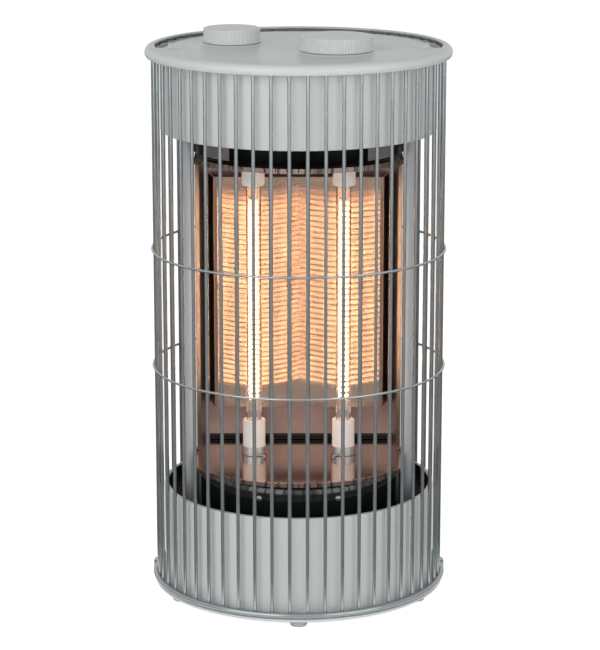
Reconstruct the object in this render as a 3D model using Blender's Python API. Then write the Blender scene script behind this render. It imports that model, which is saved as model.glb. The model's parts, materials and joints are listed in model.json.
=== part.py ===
"""Patio heater: two quartz elements before a fluted reflector, inside a round wire cage.

The front faces -Y and Z is up. The origin is on the floor, below the middle of the heater.
Sizes are in millimetres and become metres where a mesh is made.
"""

import math

import bmesh
import bpy
from mathutils import Matrix, Vector

MM = 0.001

# Clearances
FIT = 0.3                      # between two pieces that touch
RUNNING = 0.5                  # beside a piece that turns

# Sheet and bar stock
SHEET = 1.0                    # drums, lid, panels and decks
ROUND_SEGMENTS = 40            # facets round the drums and the lid

# Drums
DRUM_RADIUS = 143.0
DRUM_LIP = 4.5
DRUM_FLANGE = 12.0
LOWER_DRUM_HEIGHT = 104.1
UPPER_DRUM_HEIGHT = 74.7
UPPER_DRUM_SKIRT = 3.7         # how far it hangs below the upper deck

# Cage
DRUM_TO_WIRES = 7.0            # from the drums to the middles of the upright wires
CAGE_RADIUS = DRUM_RADIUS + DRUM_TO_WIRES
WIRE_COUNT = 52
WIRE_DIAMETER = 3.8
WIRE_RISE = 0.3                # wire ends above the lid's plate
BAND_DIAMETER = 2.6
LOWER_BAND_HEIGHT = 243.4
UPPER_BAND_HEIGHT = 368.2
TOP_RING_DROP = 2.8            # top ring's middle below the wire ends
BOTTOM_RING_DIAMETER = 6.0
BOTTOM_RING_OUTSET = 3.2       # its middle outside the wires' middles
BOTTOM_RING_RADIUS = CAGE_RADIUS + BOTTOM_RING_OUTSET
BOTTOM_RING_LIFT = 0.8         # above the base plate, held by the clips
CLIP_WIDTH = 9.0
CLIP_GAP_INDEX = 14            # gap between wires, counted from the front

# Feet and base plate
BASE_OVERHANG = 0.8            # beyond the middle of the bottom ring
BASE_RADIUS = BOTTOM_RING_RADIUS + BASE_OVERHANG
BASE_THICKNESS = 2.8
FOOT_HEIGHT = 8.0
FOOT_RADIUS = 8.8
FOOT_TOP_RADIUS = 9.4
FOOT_INSET = 16.0
FOOT_CIRCLE = BASE_RADIUS - FOOT_INSET
FEET = {
    "front": 0.0,
    "front_right": 64.0,
    "rear_right": 116.0,
    "rear": 180.0,
    "rear_left": -116.0,
    "front_left": -64.0,
}                              # angle from the front, in degrees

# Decks and black housings
LOWER_DECK_LIFT = 74.3         # its top above the bottom of the lower drum
HOUSING_RADIUS = 107.5
HOUSING_SHOULDER = 20.0
HOUSING_SCREW_LIFT = 38.5      # above the lower deck
HOUSING_SCREW_ANGLE = 22.4
HOUSING_SCREW_RADIUS = 3.2
HOUSING_SCREW_STAND = 1.8
COLLAR_HEIGHT = 28.0           # from the ceiling to the upper deck

# Heating chamber
CHAMBER_LIFT = 63.3            # its floor above the lower deck
CHAMBER_HEIGHT = 319.0
TRAY_RADIUS = 128.0            # round front and back of the floor and the ceiling
TRAY_HALF_WIDTH = 107.0        # their straight sides
TRAY_RIM = 5.0
BACK_WALL_Y = 35.0
BACK_WALL_INSET = 10.0         # from the trays' straight sides
REFLECTOR_FROM_FLOOR = 44.0
REFLECTOR_FROM_CEILING = 27.0
REFLECTOR_INSET = 9.0
REFLECTOR_STAND_OFF = 27.0     # its sheet in front of the back wall, on two side flanges
FLANGE_SPLAY = 8.0             # of those flanges, outward on the way to the wall
PANEL_LIP = 4.0                # front edge of a side panel, bent out towards its post
FLUTE_COUNT = 28
FLUTE_DEPTH = 1.8
REFLECTOR_SHEET = 1.2
CASING_INSET = 1.5
CASING_TO_TRAY_EDGE = 10.0
CASING_RADIUS = TRAY_RADIUS - CASING_TO_TRAY_EDGE
BACK_WALL_HALF_WIDTH = TRAY_HALF_WIDTH - BACK_WALL_INSET
REFLECTOR_HALF_WIDTH = BACK_WALL_HALF_WIDTH - REFLECTOR_INSET
CASING_HALF_WIDTH = BACK_WALL_HALF_WIDTH - CASING_INSET

# Posts
POST_RADIUS = 6.5
POST_WALL = 1.2
POST_ROOM = 1.0                # between a post and the black housings
POST_X = HOUSING_RADIUS + POST_ROOM + POST_RADIUS

# Elements
ELEMENT_X = 47.0
ELEMENT_Y = -20.0
TUBE_RADIUS = 7.8
TUBE_WALL = 1.2
CERAMIC_WALL = 3.7
CERAMIC_RADIUS = TUBE_RADIUS + FIT + CERAMIC_WALL
CERAMIC_SOCKET = 8.0
LOWER_CERAMIC_HEIGHT = 37.8
UPPER_CERAMIC_HEIGHT = 30.4
COIL_WIRE = 1.4
COIL_ROOM = 0.5                # between the coil and the tube
COIL_RADIUS = TUBE_RADIUS - TUBE_WALL - COIL_ROOM - COIL_WIRE / 2
COIL_TURNS = 26
COIL_FROM_FLOOR = 60.0
COIL_FROM_CEILING = 44.0
COIL_POINTS_PER_TURN = 8
CLIP_BAND_HEIGHT = 9.0
CLIP_BAND_THICKNESS = 0.9
LEAD_WIRE_DIAMETER = 3.0       # bare leads at the ends of the elements
LEAD_ROOM = 1.5                # round a lead where it goes through sheet metal
LEAD_HOLE = LEAD_WIRE_DIAMETER / 2 + LEAD_ROOM
UPPER_LEAD_RISE = 13.5         # above the upper deck
LINK_DROP = 22.0               # lowest point of the link below the chamber floor
LINK_BEND = 8.0

# Lid
CHANNEL_HEIGHT = 7.4           # of the channel between the upper drum and the lid
LID_INNER_RADIUS = CAGE_RADIUS - WIRE_DIAMETER / 2 - FIT - SHEET
RIM_WIDTH = 11.6
RIM_RADIUS = LID_INNER_RADIUS + RIM_WIDTH
RIM_RISE = 3.3                 # top of the rim above the plate
RIM_WAIST_DROP = 3.0           # widest point below the plate's top
RIM_SKIRT = 7.6                # lowest point below the plate's top
SLOT_WIDTH = 13.0
SLOT_TO_WIRES = 1.0            # its outer edge inside the middles of the wires
SLOT_OUTER_RADIUS = CAGE_RADIUS - SLOT_TO_WIRES
SLOT_INNER_RADIUS = SLOT_OUTER_RADIUS - SLOT_WIDTH
SLOT_END_Y = -2.0
NOTCH_HALF_WIDTH = 12.7
NOTCH_DEPTH = 8.0
BOSS_HEIGHT = 1.0
BOSS_MARGIN = 4.0

# Carry handle, a wire bail that lies in a channel below the slot
HANDLE_INSET = 4.2             # its middle from the slot's inner edge
HANDLE_RADIUS = SLOT_INNER_RADIUS + HANDLE_INSET
HANDLE_DIAMETER = 5.0
HANDLE_PIVOT_Y = 5.0
HANDLE_BEND = 6.0
CHANNEL_INSET = 2.5            # its inner wall inside the slot's inner edge
CHANNEL_TO_WIRES = 0.8
CHANNEL_INNER_RADIUS = SLOT_INNER_RADIUS - CHANNEL_INSET
CHANNEL_OUTER_RADIUS = CAGE_RADIUS - WIRE_DIAMETER / 2 - CHANNEL_TO_WIRES
BUSH_RADIUS = 4.2
BUSH_LENGTH = 15.4
BUSH_TO_CHANNEL = 1.1
BUSH_OUTER_X = CHANNEL_INNER_RADIUS - BUSH_TO_CHANNEL
BUSH_INNER_X = BUSH_OUTER_X - BUSH_LENGTH
HUMP_LENGTH = 22.0
HUMP_INSET = 2.0               # its upright end inside the slot's inner edge
HUMP_OUTER_X = SLOT_INNER_RADIUS - HUMP_INSET
HUMP_INNER_X = HUMP_OUTER_X - HUMP_LENGTH
HUMP_HALF_LENGTH = 7.0
HUMP_HEIGHT = 4.0

# Knobs and what they turn
KNOB_HEIGHT = 15.0
KNOB_EDGE = 1.4
POWER_KNOB_RADIUS = 30.0
POWER_KNOB_AT = (-69.4, 35.0)
TIMER_KNOB_RADIUS = 37.8
TIMER_KNOB_AT = (38.4, -30.0)
SHAFT_RADIUS = 3.0
SHAFT_IN_KNOB = 9.5
SHAFT_IN_MODULE = 24.0
SWITCH_RADIUS = 17.0
TIMER_RADIUS = 24.0
MODULE_FLOOR = 3.0

# Electrical pieces
SLEEVE_RADIUS = 3.7
SLEEVE_Y = 60.0
SLEEVE_DROP = 24.2             # below the lower deck
SLEEVE_RISE = 5.0              # above the upper deck
BLOCK_SIZE = (36.0, 20.0, 13.0)
CUTOUT_RADIUS = 8.0
CUTOUT_HEIGHT = 9.0
CUTOUT_AT = (-40.0, 60.0)
TIP_SWITCH_SIZE = (30.0, 24.0, 25.0)
TIP_SWITCH_AT = (-45.0, 32.0)
GLAND_LIFT = 28.6              # above the bottom of the lower drum
GLAND_RADIUS = 8.7
GLAND_FLANGE = 10.5
GLAND_FLANGE_THICKNESS = 2.2
GLAND_NOSE_RADIUS = 6.0
GLAND_NOSE = 10.0
GLAND_INSIDE = 12.0
GLAND_BORE = 3.3
LEAD_DIAMETER = 6.0

# Heights and radii that follow from the sizes above, from the floor up
BASE_BOTTOM = FOOT_HEIGHT + FIT
BASE_TOP = BASE_BOTTOM + BASE_THICKNESS
BOTTOM_RING_Z = BASE_TOP + BOTTOM_RING_LIFT + BOTTOM_RING_DIAMETER / 2
BAND_RADIUS = CAGE_RADIUS + WIRE_DIAMETER / 2 + FIT + BAND_DIAMETER / 2
WIRE_STEP = 2 * math.pi / WIRE_COUNT
LOWER_DRUM_BOTTOM = BASE_TOP + FIT
LOWER_DRUM_TOP = LOWER_DRUM_BOTTOM + LOWER_DRUM_HEIGHT
GLAND_HEIGHT = LOWER_DRUM_BOTTOM + GLAND_LIFT
DECK_RADIUS = (DRUM_RADIUS - SHEET) - FIT
LOWER_DECK_TOP = LOWER_DRUM_BOTTOM + LOWER_DECK_LIFT
LOWER_DECK_BOTTOM = LOWER_DECK_TOP - SHEET
SLEEVE_BOTTOM = LOWER_DECK_BOTTOM - SLEEVE_DROP
FLOOR_TOP = LOWER_DECK_TOP + CHAMBER_LIFT
HOUSING_SCREW_HEIGHT = LOWER_DECK_TOP + HOUSING_SCREW_LIFT
HOUSING_BOTTOM = LOWER_DECK_TOP + FIT
HOUSING_TOP = FLOOR_TOP - SHEET - FIT
CEILING_BOTTOM = FLOOR_TOP + CHAMBER_HEIGHT
CEILING_TOP = CEILING_BOTTOM + SHEET
WALL_BOTTOM = FLOOR_TOP + FIT
WALL_TOP = CEILING_BOTTOM - FIT
REFLECTOR_BOTTOM = FLOOR_TOP + REFLECTOR_FROM_FLOOR
REFLECTOR_TOP = CEILING_BOTTOM - REFLECTOR_FROM_CEILING
LOWER_SOCKET = WALL_BOTTOM + LOWER_CERAMIC_HEIGHT - CERAMIC_SOCKET
UPPER_SOCKET = WALL_TOP - UPPER_CERAMIC_HEIGHT + CERAMIC_SOCKET
COIL_BOTTOM = FLOOR_TOP + COIL_FROM_FLOOR
COIL_TOP = CEILING_BOTTOM - COIL_FROM_CEILING
UPPER_DECK_BOTTOM = CEILING_TOP + COLLAR_HEIGHT
UPPER_DECK_TOP = UPPER_DECK_BOTTOM + SHEET
UPPER_LEAD_TOP = UPPER_DECK_TOP + UPPER_LEAD_RISE
UPPER_DRUM_BOTTOM = UPPER_DECK_BOTTOM - UPPER_DRUM_SKIRT
UPPER_DRUM_TOP = UPPER_DRUM_BOTTOM + UPPER_DRUM_HEIGHT
CHANNEL_BOTTOM = UPPER_DRUM_TOP + FIT
CHANNEL_TOP = CHANNEL_BOTTOM + CHANNEL_HEIGHT
HANDLE_Z = CHANNEL_BOTTOM + SHEET + FIT + HANDLE_DIAMETER / 2
LID_BOTTOM = CHANNEL_TOP + FIT
LID_TOP = LID_BOTTOM + SHEET
RIM_TOP = LID_TOP + RIM_RISE
RIM_WAIST = LID_TOP - RIM_WAIST_DROP
RIM_BOTTOM = LID_TOP - RIM_SKIRT
WIRE_TOP = LID_TOP + WIRE_RISE
BOSS_TOP = LID_TOP + BOSS_HEIGHT
KNOB_BOTTOM = BOSS_TOP + RUNNING
KNOB_TOP = KNOB_BOTTOM + KNOB_HEIGHT
SHAFT_TOP = KNOB_BOTTOM + SHAFT_IN_KNOB
SHAFT_BOTTOM = LID_BOTTOM - SHAFT_IN_MODULE


def clear_scene():
    for obj in list(bpy.data.objects):
        bpy.data.objects.remove(obj, do_unlink=True)


def material(name, colour, roughness, metallic=0.0):
    mat = bpy.data.materials.new(name)
    mat.use_nodes = True
    shader = mat.node_tree.nodes["Principled BSDF"]
    shader.inputs["Base Color"].default_value = (*colour, 1.0)
    shader.inputs["Roughness"].default_value = roughness
    shader.inputs["Metallic"].default_value = metallic
    mat.diffuse_color = (*colour, 1.0)
    return mat


def add_mesh(name, bm, mat, smooth=True):
    """Closes a bmesh off as a named object with its faces pointing out."""
    bmesh.ops.recalc_face_normals(bm, faces=bm.faces)
    mesh = bpy.data.meshes.new(name)
    bm.to_mesh(mesh)
    bm.free()
    if smooth:
        mesh.shade_smooth()
        mesh.set_sharp_from_angle(angle=math.radians(35))
    obj = bpy.data.objects.new(name, mesh)
    bpy.context.collection.objects.link(obj)
    if mat is not None:
        mesh.materials.append(mat)
    return obj


def turned_mesh(bm, profile, segments, at=(0.0, 0.0, 0.0), phase=0.0, tilt=None):
    """Spins (radius, height) points round an axis; a profile that starts on the axis ends on it."""
    on_axis = profile[0][0] == 0.0
    first = Matrix.Rotation(phase, 4, "Z")
    verts = [bm.verts.new(first @ Vector((r * MM, 0.0, z * MM))) for r, z in profile]
    pairs = list(zip(verts, verts[1:]))
    if not on_axis:
        pairs.append((verts[-1], verts[0]))
    edges = [bm.edges.new(pair) for pair in pairs]
    before = set(bm.verts) - set(verts)
    bmesh.ops.spin(
        bm, geom=verts + edges, cent=(0, 0, 0), axis=(0, 0, 1),
        angle=2 * math.pi, steps=segments, use_merge=True,
    )
    made = [v for v in bm.verts if v not in before]
    bmesh.ops.remove_doubles(bm, verts=made, dist=1e-6)
    made = [v for v in bm.verts if v.is_valid and v not in before]
    move = Matrix.Translation(Vector(at) * MM)
    if tilt is not None:
        move = move @ tilt
    bmesh.ops.transform(bm, matrix=move, verts=made)


def turned(name, profile, mat, segments=ROUND_SEGMENTS, at=(0.0, 0.0, 0.0), phase=0.0, tilt=None):
    bm = bmesh.new()
    turned_mesh(bm, profile, segments, at, phase, tilt)
    return add_mesh(name, bm, mat)


def prism_mesh(bm, outline, low, high):
    """Extrudes a flat outline of (x, y) points from one height to another."""
    verts = [bm.verts.new((x * MM, y * MM, low * MM)) for x, y in outline]
    face = bm.faces.new(verts)
    made = bmesh.ops.extrude_face_region(bm, geom=[face])
    top = [v for v in made["geom"] if isinstance(v, bmesh.types.BMVert)]
    bmesh.ops.translate(bm, verts=top, vec=(0, 0, (high - low) * MM))
    return verts + top


def prism(name, outline, low, high, mat, smooth=True):
    bm = bmesh.new()
    prism_mesh(bm, outline, low, high)
    return add_mesh(name, bm, mat, smooth)


def circle(radius, count, centre=(0.0, 0.0), start=0.0):
    step = 2 * math.pi / count
    return [
        (centre[0] + radius * math.cos(start + k * step), centre[1] + radius * math.sin(start + k * step))
        for k in range(count)
    ]


def arc(radius, first, last, steps):
    """Points on a circle round the origin, with angles counted from +X."""
    turn = (last - first) / steps
    return [
        (radius * math.cos(first + k * turn), radius * math.sin(first + k * turn))
        for k in range(steps + 1)
    ]


def box_outline(x0, x1, y0, y1):
    return [(x0, y0), (x1, y0), (x1, y1), (x0, y1)]


def strip(path, thickness):
    """Outline of a bent sheet that has this middle line."""
    left, right = [], []
    points = [Vector(p) for p in path]
    for k, point in enumerate(points):
        before = points[max(k - 1, 0)]
        after = points[min(k + 1, len(points) - 1)]
        into = (point - before).normalized() if k > 0 else (after - point).normalized()
        out = (after - point).normalized() if k < len(points) - 1 else into
        along = (into + out).normalized()
        half = thickness / 2 / max(along.dot(out), 0.3)
        side = Vector((-along.y, along.x)) * half
        left.append(tuple(point + side))
        right.append(tuple(point - side))
    return left + right[::-1]


def from_front(angle_degrees, radius):
    """A point at an angle from the front, positive towards +X."""
    angle = math.radians(angle_degrees)
    return radius * math.sin(angle), -radius * math.cos(angle)


def boolean(target, cutter, operation="DIFFERENCE"):
    modifier = target.modifiers.new(cutter.name, "BOOLEAN")
    modifier.operation = operation
    modifier.object = cutter
    cutter.hide_render = True
    cutter.display_type = "WIRE"


def tube(name, points, diameter, mat):
    """A round bar along a list of (x, y, z) points, with closed ends."""
    curve = bpy.data.curves.new(name, "CURVE")
    curve.dimensions = "3D"
    curve.bevel_depth = diameter / 2 * MM
    curve.bevel_resolution = 1
    curve.use_fill_caps = True
    spline = curve.splines.new("POLY")
    spline.points.add(len(points) - 1)
    for spot, point in zip(spline.points, points):
        spot.co = (point[0] * MM, point[1] * MM, point[2] * MM, 1.0)
    curve.materials.append(mat)
    obj = bpy.data.objects.new(name, curve)
    bpy.context.collection.objects.link(obj)
    return obj


def holes(name, spots, radius, low, high, segments=12):
    """Cutter: upright drills at (x, y) spots."""
    bm = bmesh.new()
    for spot in spots:
        prism_mesh(bm, circle(radius, segments, spot), low, high)
    return add_mesh(name, bm, None)


def on_joint(obj, origin):
    """Puts an object's origin on its joint axis without moving its surface."""
    shift = Vector(origin) * MM
    obj.data.transform(Matrix.Translation(-shift))
    obj.location = shift


def make_feet(mat):
    profile = [(0.0, FOOT_HEIGHT), (FOOT_TOP_RADIUS, FOOT_HEIGHT), (FOOT_RADIUS, 0.0), (0.0, 0.0)]
    for place, angle in FEET.items():
        turned("foot_" + place, profile, mat, 14, (*from_front(angle, FOOT_CIRCLE), 0.0))


def make_base(mat):
    edge = BASE_THICKNESS / 4
    profile = [
        (0.0, BASE_BOTTOM), (BASE_RADIUS - edge, BASE_BOTTOM), (BASE_RADIUS, BASE_BOTTOM + edge),
        (BASE_RADIUS, BASE_TOP - edge), (BASE_RADIUS - edge, BASE_TOP), (0.0, BASE_TOP),
    ]
    turned("base_plate", profile, mat)


def drum_profile(low, high, lip, flange):
    """A rolled drum: lip is turned in at one end, flange at the other."""
    return [
        (DRUM_RADIUS, low), (DRUM_RADIUS, high), (DRUM_RADIUS - lip, high),
        (DRUM_RADIUS - lip, high - SHEET), (DRUM_RADIUS - SHEET, high - SHEET),
        (DRUM_RADIUS - SHEET, low + SHEET), (DRUM_RADIUS - flange, low + SHEET), (DRUM_RADIUS - flange, low),
    ]


def make_drums(mat):
    lower = turned("lower_drum", drum_profile(LOWER_DRUM_BOTTOM, LOWER_DRUM_TOP, DRUM_LIP, DRUM_FLANGE), mat)
    gland_hole = turned(
        "gland_hole", [(0.0, -20.0), (GLAND_RADIUS + FIT, -20.0), (GLAND_RADIUS + FIT, 20.0), (0.0, 20.0)],
        None, 16, (0.0, DRUM_RADIUS, GLAND_HEIGHT), tilt=Matrix.Rotation(math.pi / 2, 4, "X"),
    )
    boolean(lower, gland_hole)
    turned("upper_drum", drum_profile(UPPER_DRUM_BOTTOM, UPPER_DRUM_TOP, DRUM_LIP, DRUM_LIP), mat)


def make_decks(mat, passage, lead_drill):
    lower = prism("lower_deck", circle(DECK_RADIUS, ROUND_SEGMENTS), LOWER_DECK_BOTTOM, LOWER_DECK_TOP, mat)
    upper = prism("upper_deck", circle(DECK_RADIUS, ROUND_SEGMENTS), UPPER_DECK_BOTTOM, UPPER_DECK_TOP, mat)
    boolean(lower, passage)
    boolean(upper, passage)
    boolean(upper, lead_drill)


def make_posts(mat):
    low = LOWER_DECK_TOP + FIT
    high = UPPER_DECK_BOTTOM - FIT
    inner = POST_RADIUS - POST_WALL
    profile = [(POST_RADIUS, low), (POST_RADIUS, high), (inner, high), (inner, low)]
    turned("post_left", profile, mat, 16, (-POST_X, 0.0, 0.0))
    turned("post_right", profile, mat, 16, (POST_X, 0.0, 0.0))


def make_housings(mat, screw_mat, passage, lead_drill):
    """The domed black housing under the floor and the collar above the ceiling."""
    outer = [(0.0, HOUSING_TOP)]
    inner = [(0.0, HOUSING_TOP - SHEET)]
    middle = (HOUSING_RADIUS - HOUSING_SHOULDER, HOUSING_TOP - HOUSING_SHOULDER)
    for step in range(4):
        angle = math.pi / 2 * (1 - step / 3)
        across, up = math.cos(angle), math.sin(angle)
        outer.append((middle[0] + HOUSING_SHOULDER * across, middle[1] + HOUSING_SHOULDER * up))
        bend = HOUSING_SHOULDER - SHEET
        inner.append((middle[0] + bend * across, middle[1] + bend * up))
    outer.append((HOUSING_RADIUS, HOUSING_BOTTOM))
    inner.append((HOUSING_RADIUS - SHEET, HOUSING_BOTTOM))
    housing = turned("lower_housing", outer + inner[::-1], mat, 32)
    boolean(housing, passage)
    boolean(housing, lead_drill)
    low = CEILING_TOP + FIT
    high = UPPER_DECK_BOTTOM - FIT
    inside = HOUSING_RADIUS - SHEET
    turned("upper_collar", [(HOUSING_RADIUS, low), (HOUSING_RADIUS, high), (inside, high), (inside, low)], mat, 32)
    stand = HOUSING_SCREW_STAND
    head = [(0.0, stand), (HOUSING_SCREW_RADIUS * 0.6, stand), (HOUSING_SCREW_RADIUS, 0.0), (0.0, 0.0)]
    for word, angle in (("left", -HOUSING_SCREW_ANGLE), ("right", HOUSING_SCREW_ANGLE)):
        spot = from_front(angle, HOUSING_RADIUS + FIT)
        out = Matrix.Rotation(math.radians(angle), 4, "Z") @ Matrix.Rotation(math.pi / 2, 4, "X")
        turned("housing_screw_" + word, head, screw_mat, 10, (*spot, HOUSING_SCREW_HEIGHT), tilt=out)


def tray_outline(radius, half_width):
    """Plan of the floor and the ceiling: round at the front and back, straight at the sides."""
    corner = math.acos(half_width / radius)
    back = arc(radius, corner, math.pi - corner, 14)
    front = arc(radius, math.pi + corner, 2 * math.pi - corner, 14)
    return back + front


def make_trays(mat, passage, lead_drill):
    plan = tray_outline(TRAY_RADIUS, TRAY_HALF_WIDTH)
    hollow = tray_outline(TRAY_RADIUS - SHEET, TRAY_HALF_WIDTH + 2.0)
    floor = prism("floor_reflector", plan, FLOOR_TOP - TRAY_RIM, FLOOR_TOP, mat)
    under = prism("floor_hollow", hollow, FLOOR_TOP - TRAY_RIM - SHEET, FLOOR_TOP - SHEET, None)
    ceiling = prism("ceiling_reflector", plan, CEILING_BOTTOM, CEILING_BOTTOM + TRAY_RIM, mat)
    over = prism("ceiling_hollow", hollow, CEILING_TOP, CEILING_TOP + TRAY_RIM + SHEET, None)
    for tray, cutter in ((floor, under), (ceiling, over)):
        boolean(tray, cutter)
        boolean(tray, passage)
        boolean(tray, lead_drill)


def make_walls(plain_mat, mirror_mat, casing_mat):
    back = box_outline(-BACK_WALL_HALF_WIDTH, BACK_WALL_HALF_WIDTH, BACK_WALL_Y, BACK_WALL_Y + SHEET)
    prism("back_wall", back, WALL_BOTTOM, WALL_TOP, plain_mat, smooth=False)

    wall = BACK_WALL_Y - FIT
    rear = BACK_WALL_Y - REFLECTOR_STAND_OFF
    front = rear - REFLECTOR_SHEET - FLUTE_DEPTH
    width = 2 * REFLECTOR_HALF_WIDTH / FLUTE_COUNT
    outside = REFLECTOR_HALF_WIDTH + FLANGE_SPLAY
    inside = outside - REFLECTOR_SHEET
    bend = REFLECTOR_HALF_WIDTH - REFLECTOR_SHEET
    outline = [(outside, wall), (inside, wall), (bend, rear)]
    outline += [(-bend, rear), (-inside, wall), (-outside, wall)]
    for flute in range(FLUTE_COUNT):
        left = -REFLECTOR_HALF_WIDTH + flute * width
        outline += [(left, front + FLUTE_DEPTH), (left + width / 2, front)]
    outline.append((REFLECTOR_HALF_WIDTH, front + FLUTE_DEPTH))
    prism("fluted_reflector", outline, REFLECTOR_BOTTOM, REFLECTOR_TOP, mirror_mat, smooth=False)

    for side, name in ((-1, "side_panel_left"), (1, "side_panel_right")):
        at_post = POST_X - POST_RADIUS - FIT - SHEET / 2
        at_wall = BACK_WALL_HALF_WIDTH + FIT + SHEET / 2
        lip = at_post - PANEL_LIP
        path = [(side * at_post, -PANEL_LIP), (side * lip, 0.0), (side * at_wall, BACK_WALL_Y + SHEET)]
        prism(name, strip(path, SHEET), WALL_BOTTOM, WALL_TOP, plain_mat, smooth=False)

    corner = math.acos(CASING_HALF_WIDTH / CASING_RADIUS)
    start = BACK_WALL_Y + SHEET + FIT
    path = [(CASING_HALF_WIDTH, start)] + arc(CASING_RADIUS, corner, math.pi - corner, 14)
    path.append((-CASING_HALF_WIDTH, start))
    prism("rear_casing", strip(path, SHEET), WALL_BOTTOM, WALL_TOP, casing_mat)


def coil_points():
    """The element's wire: straight, round and round, and straight again."""
    count = COIL_TURNS * COIL_POINTS_PER_TURN
    low = LOWER_SOCKET + FIT
    high = UPPER_SOCKET - FIT
    lead = [(COIL_RADIUS, 0.0, low + k * (COIL_BOTTOM - low) / 3) for k in range(3)]
    turns = []
    for k in range(count + 1):
        angle = 2 * math.pi * k / COIL_POINTS_PER_TURN
        height = COIL_BOTTOM + (COIL_TOP - COIL_BOTTOM) * k / count
        turns.append((COIL_RADIUS * math.cos(angle), COIL_RADIUS * math.sin(angle), height))
    tail = [(COIL_RADIUS, 0.0, COIL_TOP + k * (high - COIL_TOP) / 3) for k in range(1, 4)]
    return lead + turns + tail


def least_gap(points, diameter):
    """Smallest clear distance between stretches of a wire that aren't neighbours."""
    spread = COIL_POINTS_PER_TURN // 2
    least = float("inf")
    vectors = [Vector(p) for p in points]
    for k, point in enumerate(vectors):
        for other in vectors[k + spread:k + 3 * COIL_POINTS_PER_TURN]:
            least = min(least, (point - other).length - diameter)
    return least


def make_elements(quartz, coil_mat, ceramic, steel):
    points = coil_points()
    print("least gap between coil turns in mm:", round(least_gap(points, COIL_WIRE), 2))
    bore = TUBE_RADIUS + FIT
    edge = 1.0
    for side, word in ((-1, "left"), (1, "right")):
        at = (side * ELEMENT_X, ELEMENT_Y, 0.0)
        inner = TUBE_RADIUS - TUBE_WALL
        low, high = LOWER_SOCKET + FIT, UPPER_SOCKET - FIT
        turned(
            "quartz_tube_" + word, [(TUBE_RADIUS, low), (TUBE_RADIUS, high), (inner, high), (inner, low)],
            quartz, 16, at,
        )
        wound = [(at[0] + side * x, at[1] + y, z) for x, y, z in points]
        tube("heating_coil_" + word, wound, COIL_WIRE, coil_mat)
        top = WALL_BOTTOM + LOWER_CERAMIC_HEIGHT
        lower = [
            (0.0, WALL_BOTTOM), (CERAMIC_RADIUS, WALL_BOTTOM), (CERAMIC_RADIUS, top - edge),
            (CERAMIC_RADIUS - edge, top), (bore, top), (bore, LOWER_SOCKET), (0.0, LOWER_SOCKET),
        ]
        turned("lower_ceramic_" + word, lower, ceramic, 16, at)
        bottom = WALL_TOP - UPPER_CERAMIC_HEIGHT
        upper = [
            (0.0, WALL_TOP), (CERAMIC_RADIUS, WALL_TOP), (CERAMIC_RADIUS, bottom + edge),
            (CERAMIC_RADIUS - edge, bottom), (bore, bottom), (bore, UPPER_SOCKET), (0.0, UPPER_SOCKET),
        ]
        turned("upper_ceramic_" + word, upper, ceramic, 16, at)

        inside = CERAMIC_RADIUS + FIT
        outside = inside + CLIP_BAND_THICKNESS
        high = WALL_BOTTOM + CLIP_BAND_HEIGHT
        band = [(outside, WALL_BOTTOM), (outside, high), (inside, high), (inside, WALL_BOTTOM)]
        turned("ceramic_clip_" + word, band, steel, 16, at)
        lead = circle(LEAD_WIRE_DIAMETER / 2, 8, at[:2])
        prism("upper_lead_" + word, lead, CEILING_BOTTOM, UPPER_LEAD_TOP, steel)

    low = FLOOR_TOP - LINK_DROP
    half = [(ELEMENT_X, FLOOR_TOP)]
    for k in range(5):
        angle = math.pi / 2 * k / 4
        across = ELEMENT_X - LINK_BEND + LINK_BEND * math.cos(angle)
        half.append((across, low + LINK_BEND * (1 - math.sin(angle))))
    link = half + [(-x, z) for x, z in half[::-1]]
    tube("series_link", [(x, ELEMENT_Y, z) for x, z in link], LEAD_WIRE_DIAMETER, steel)


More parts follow.
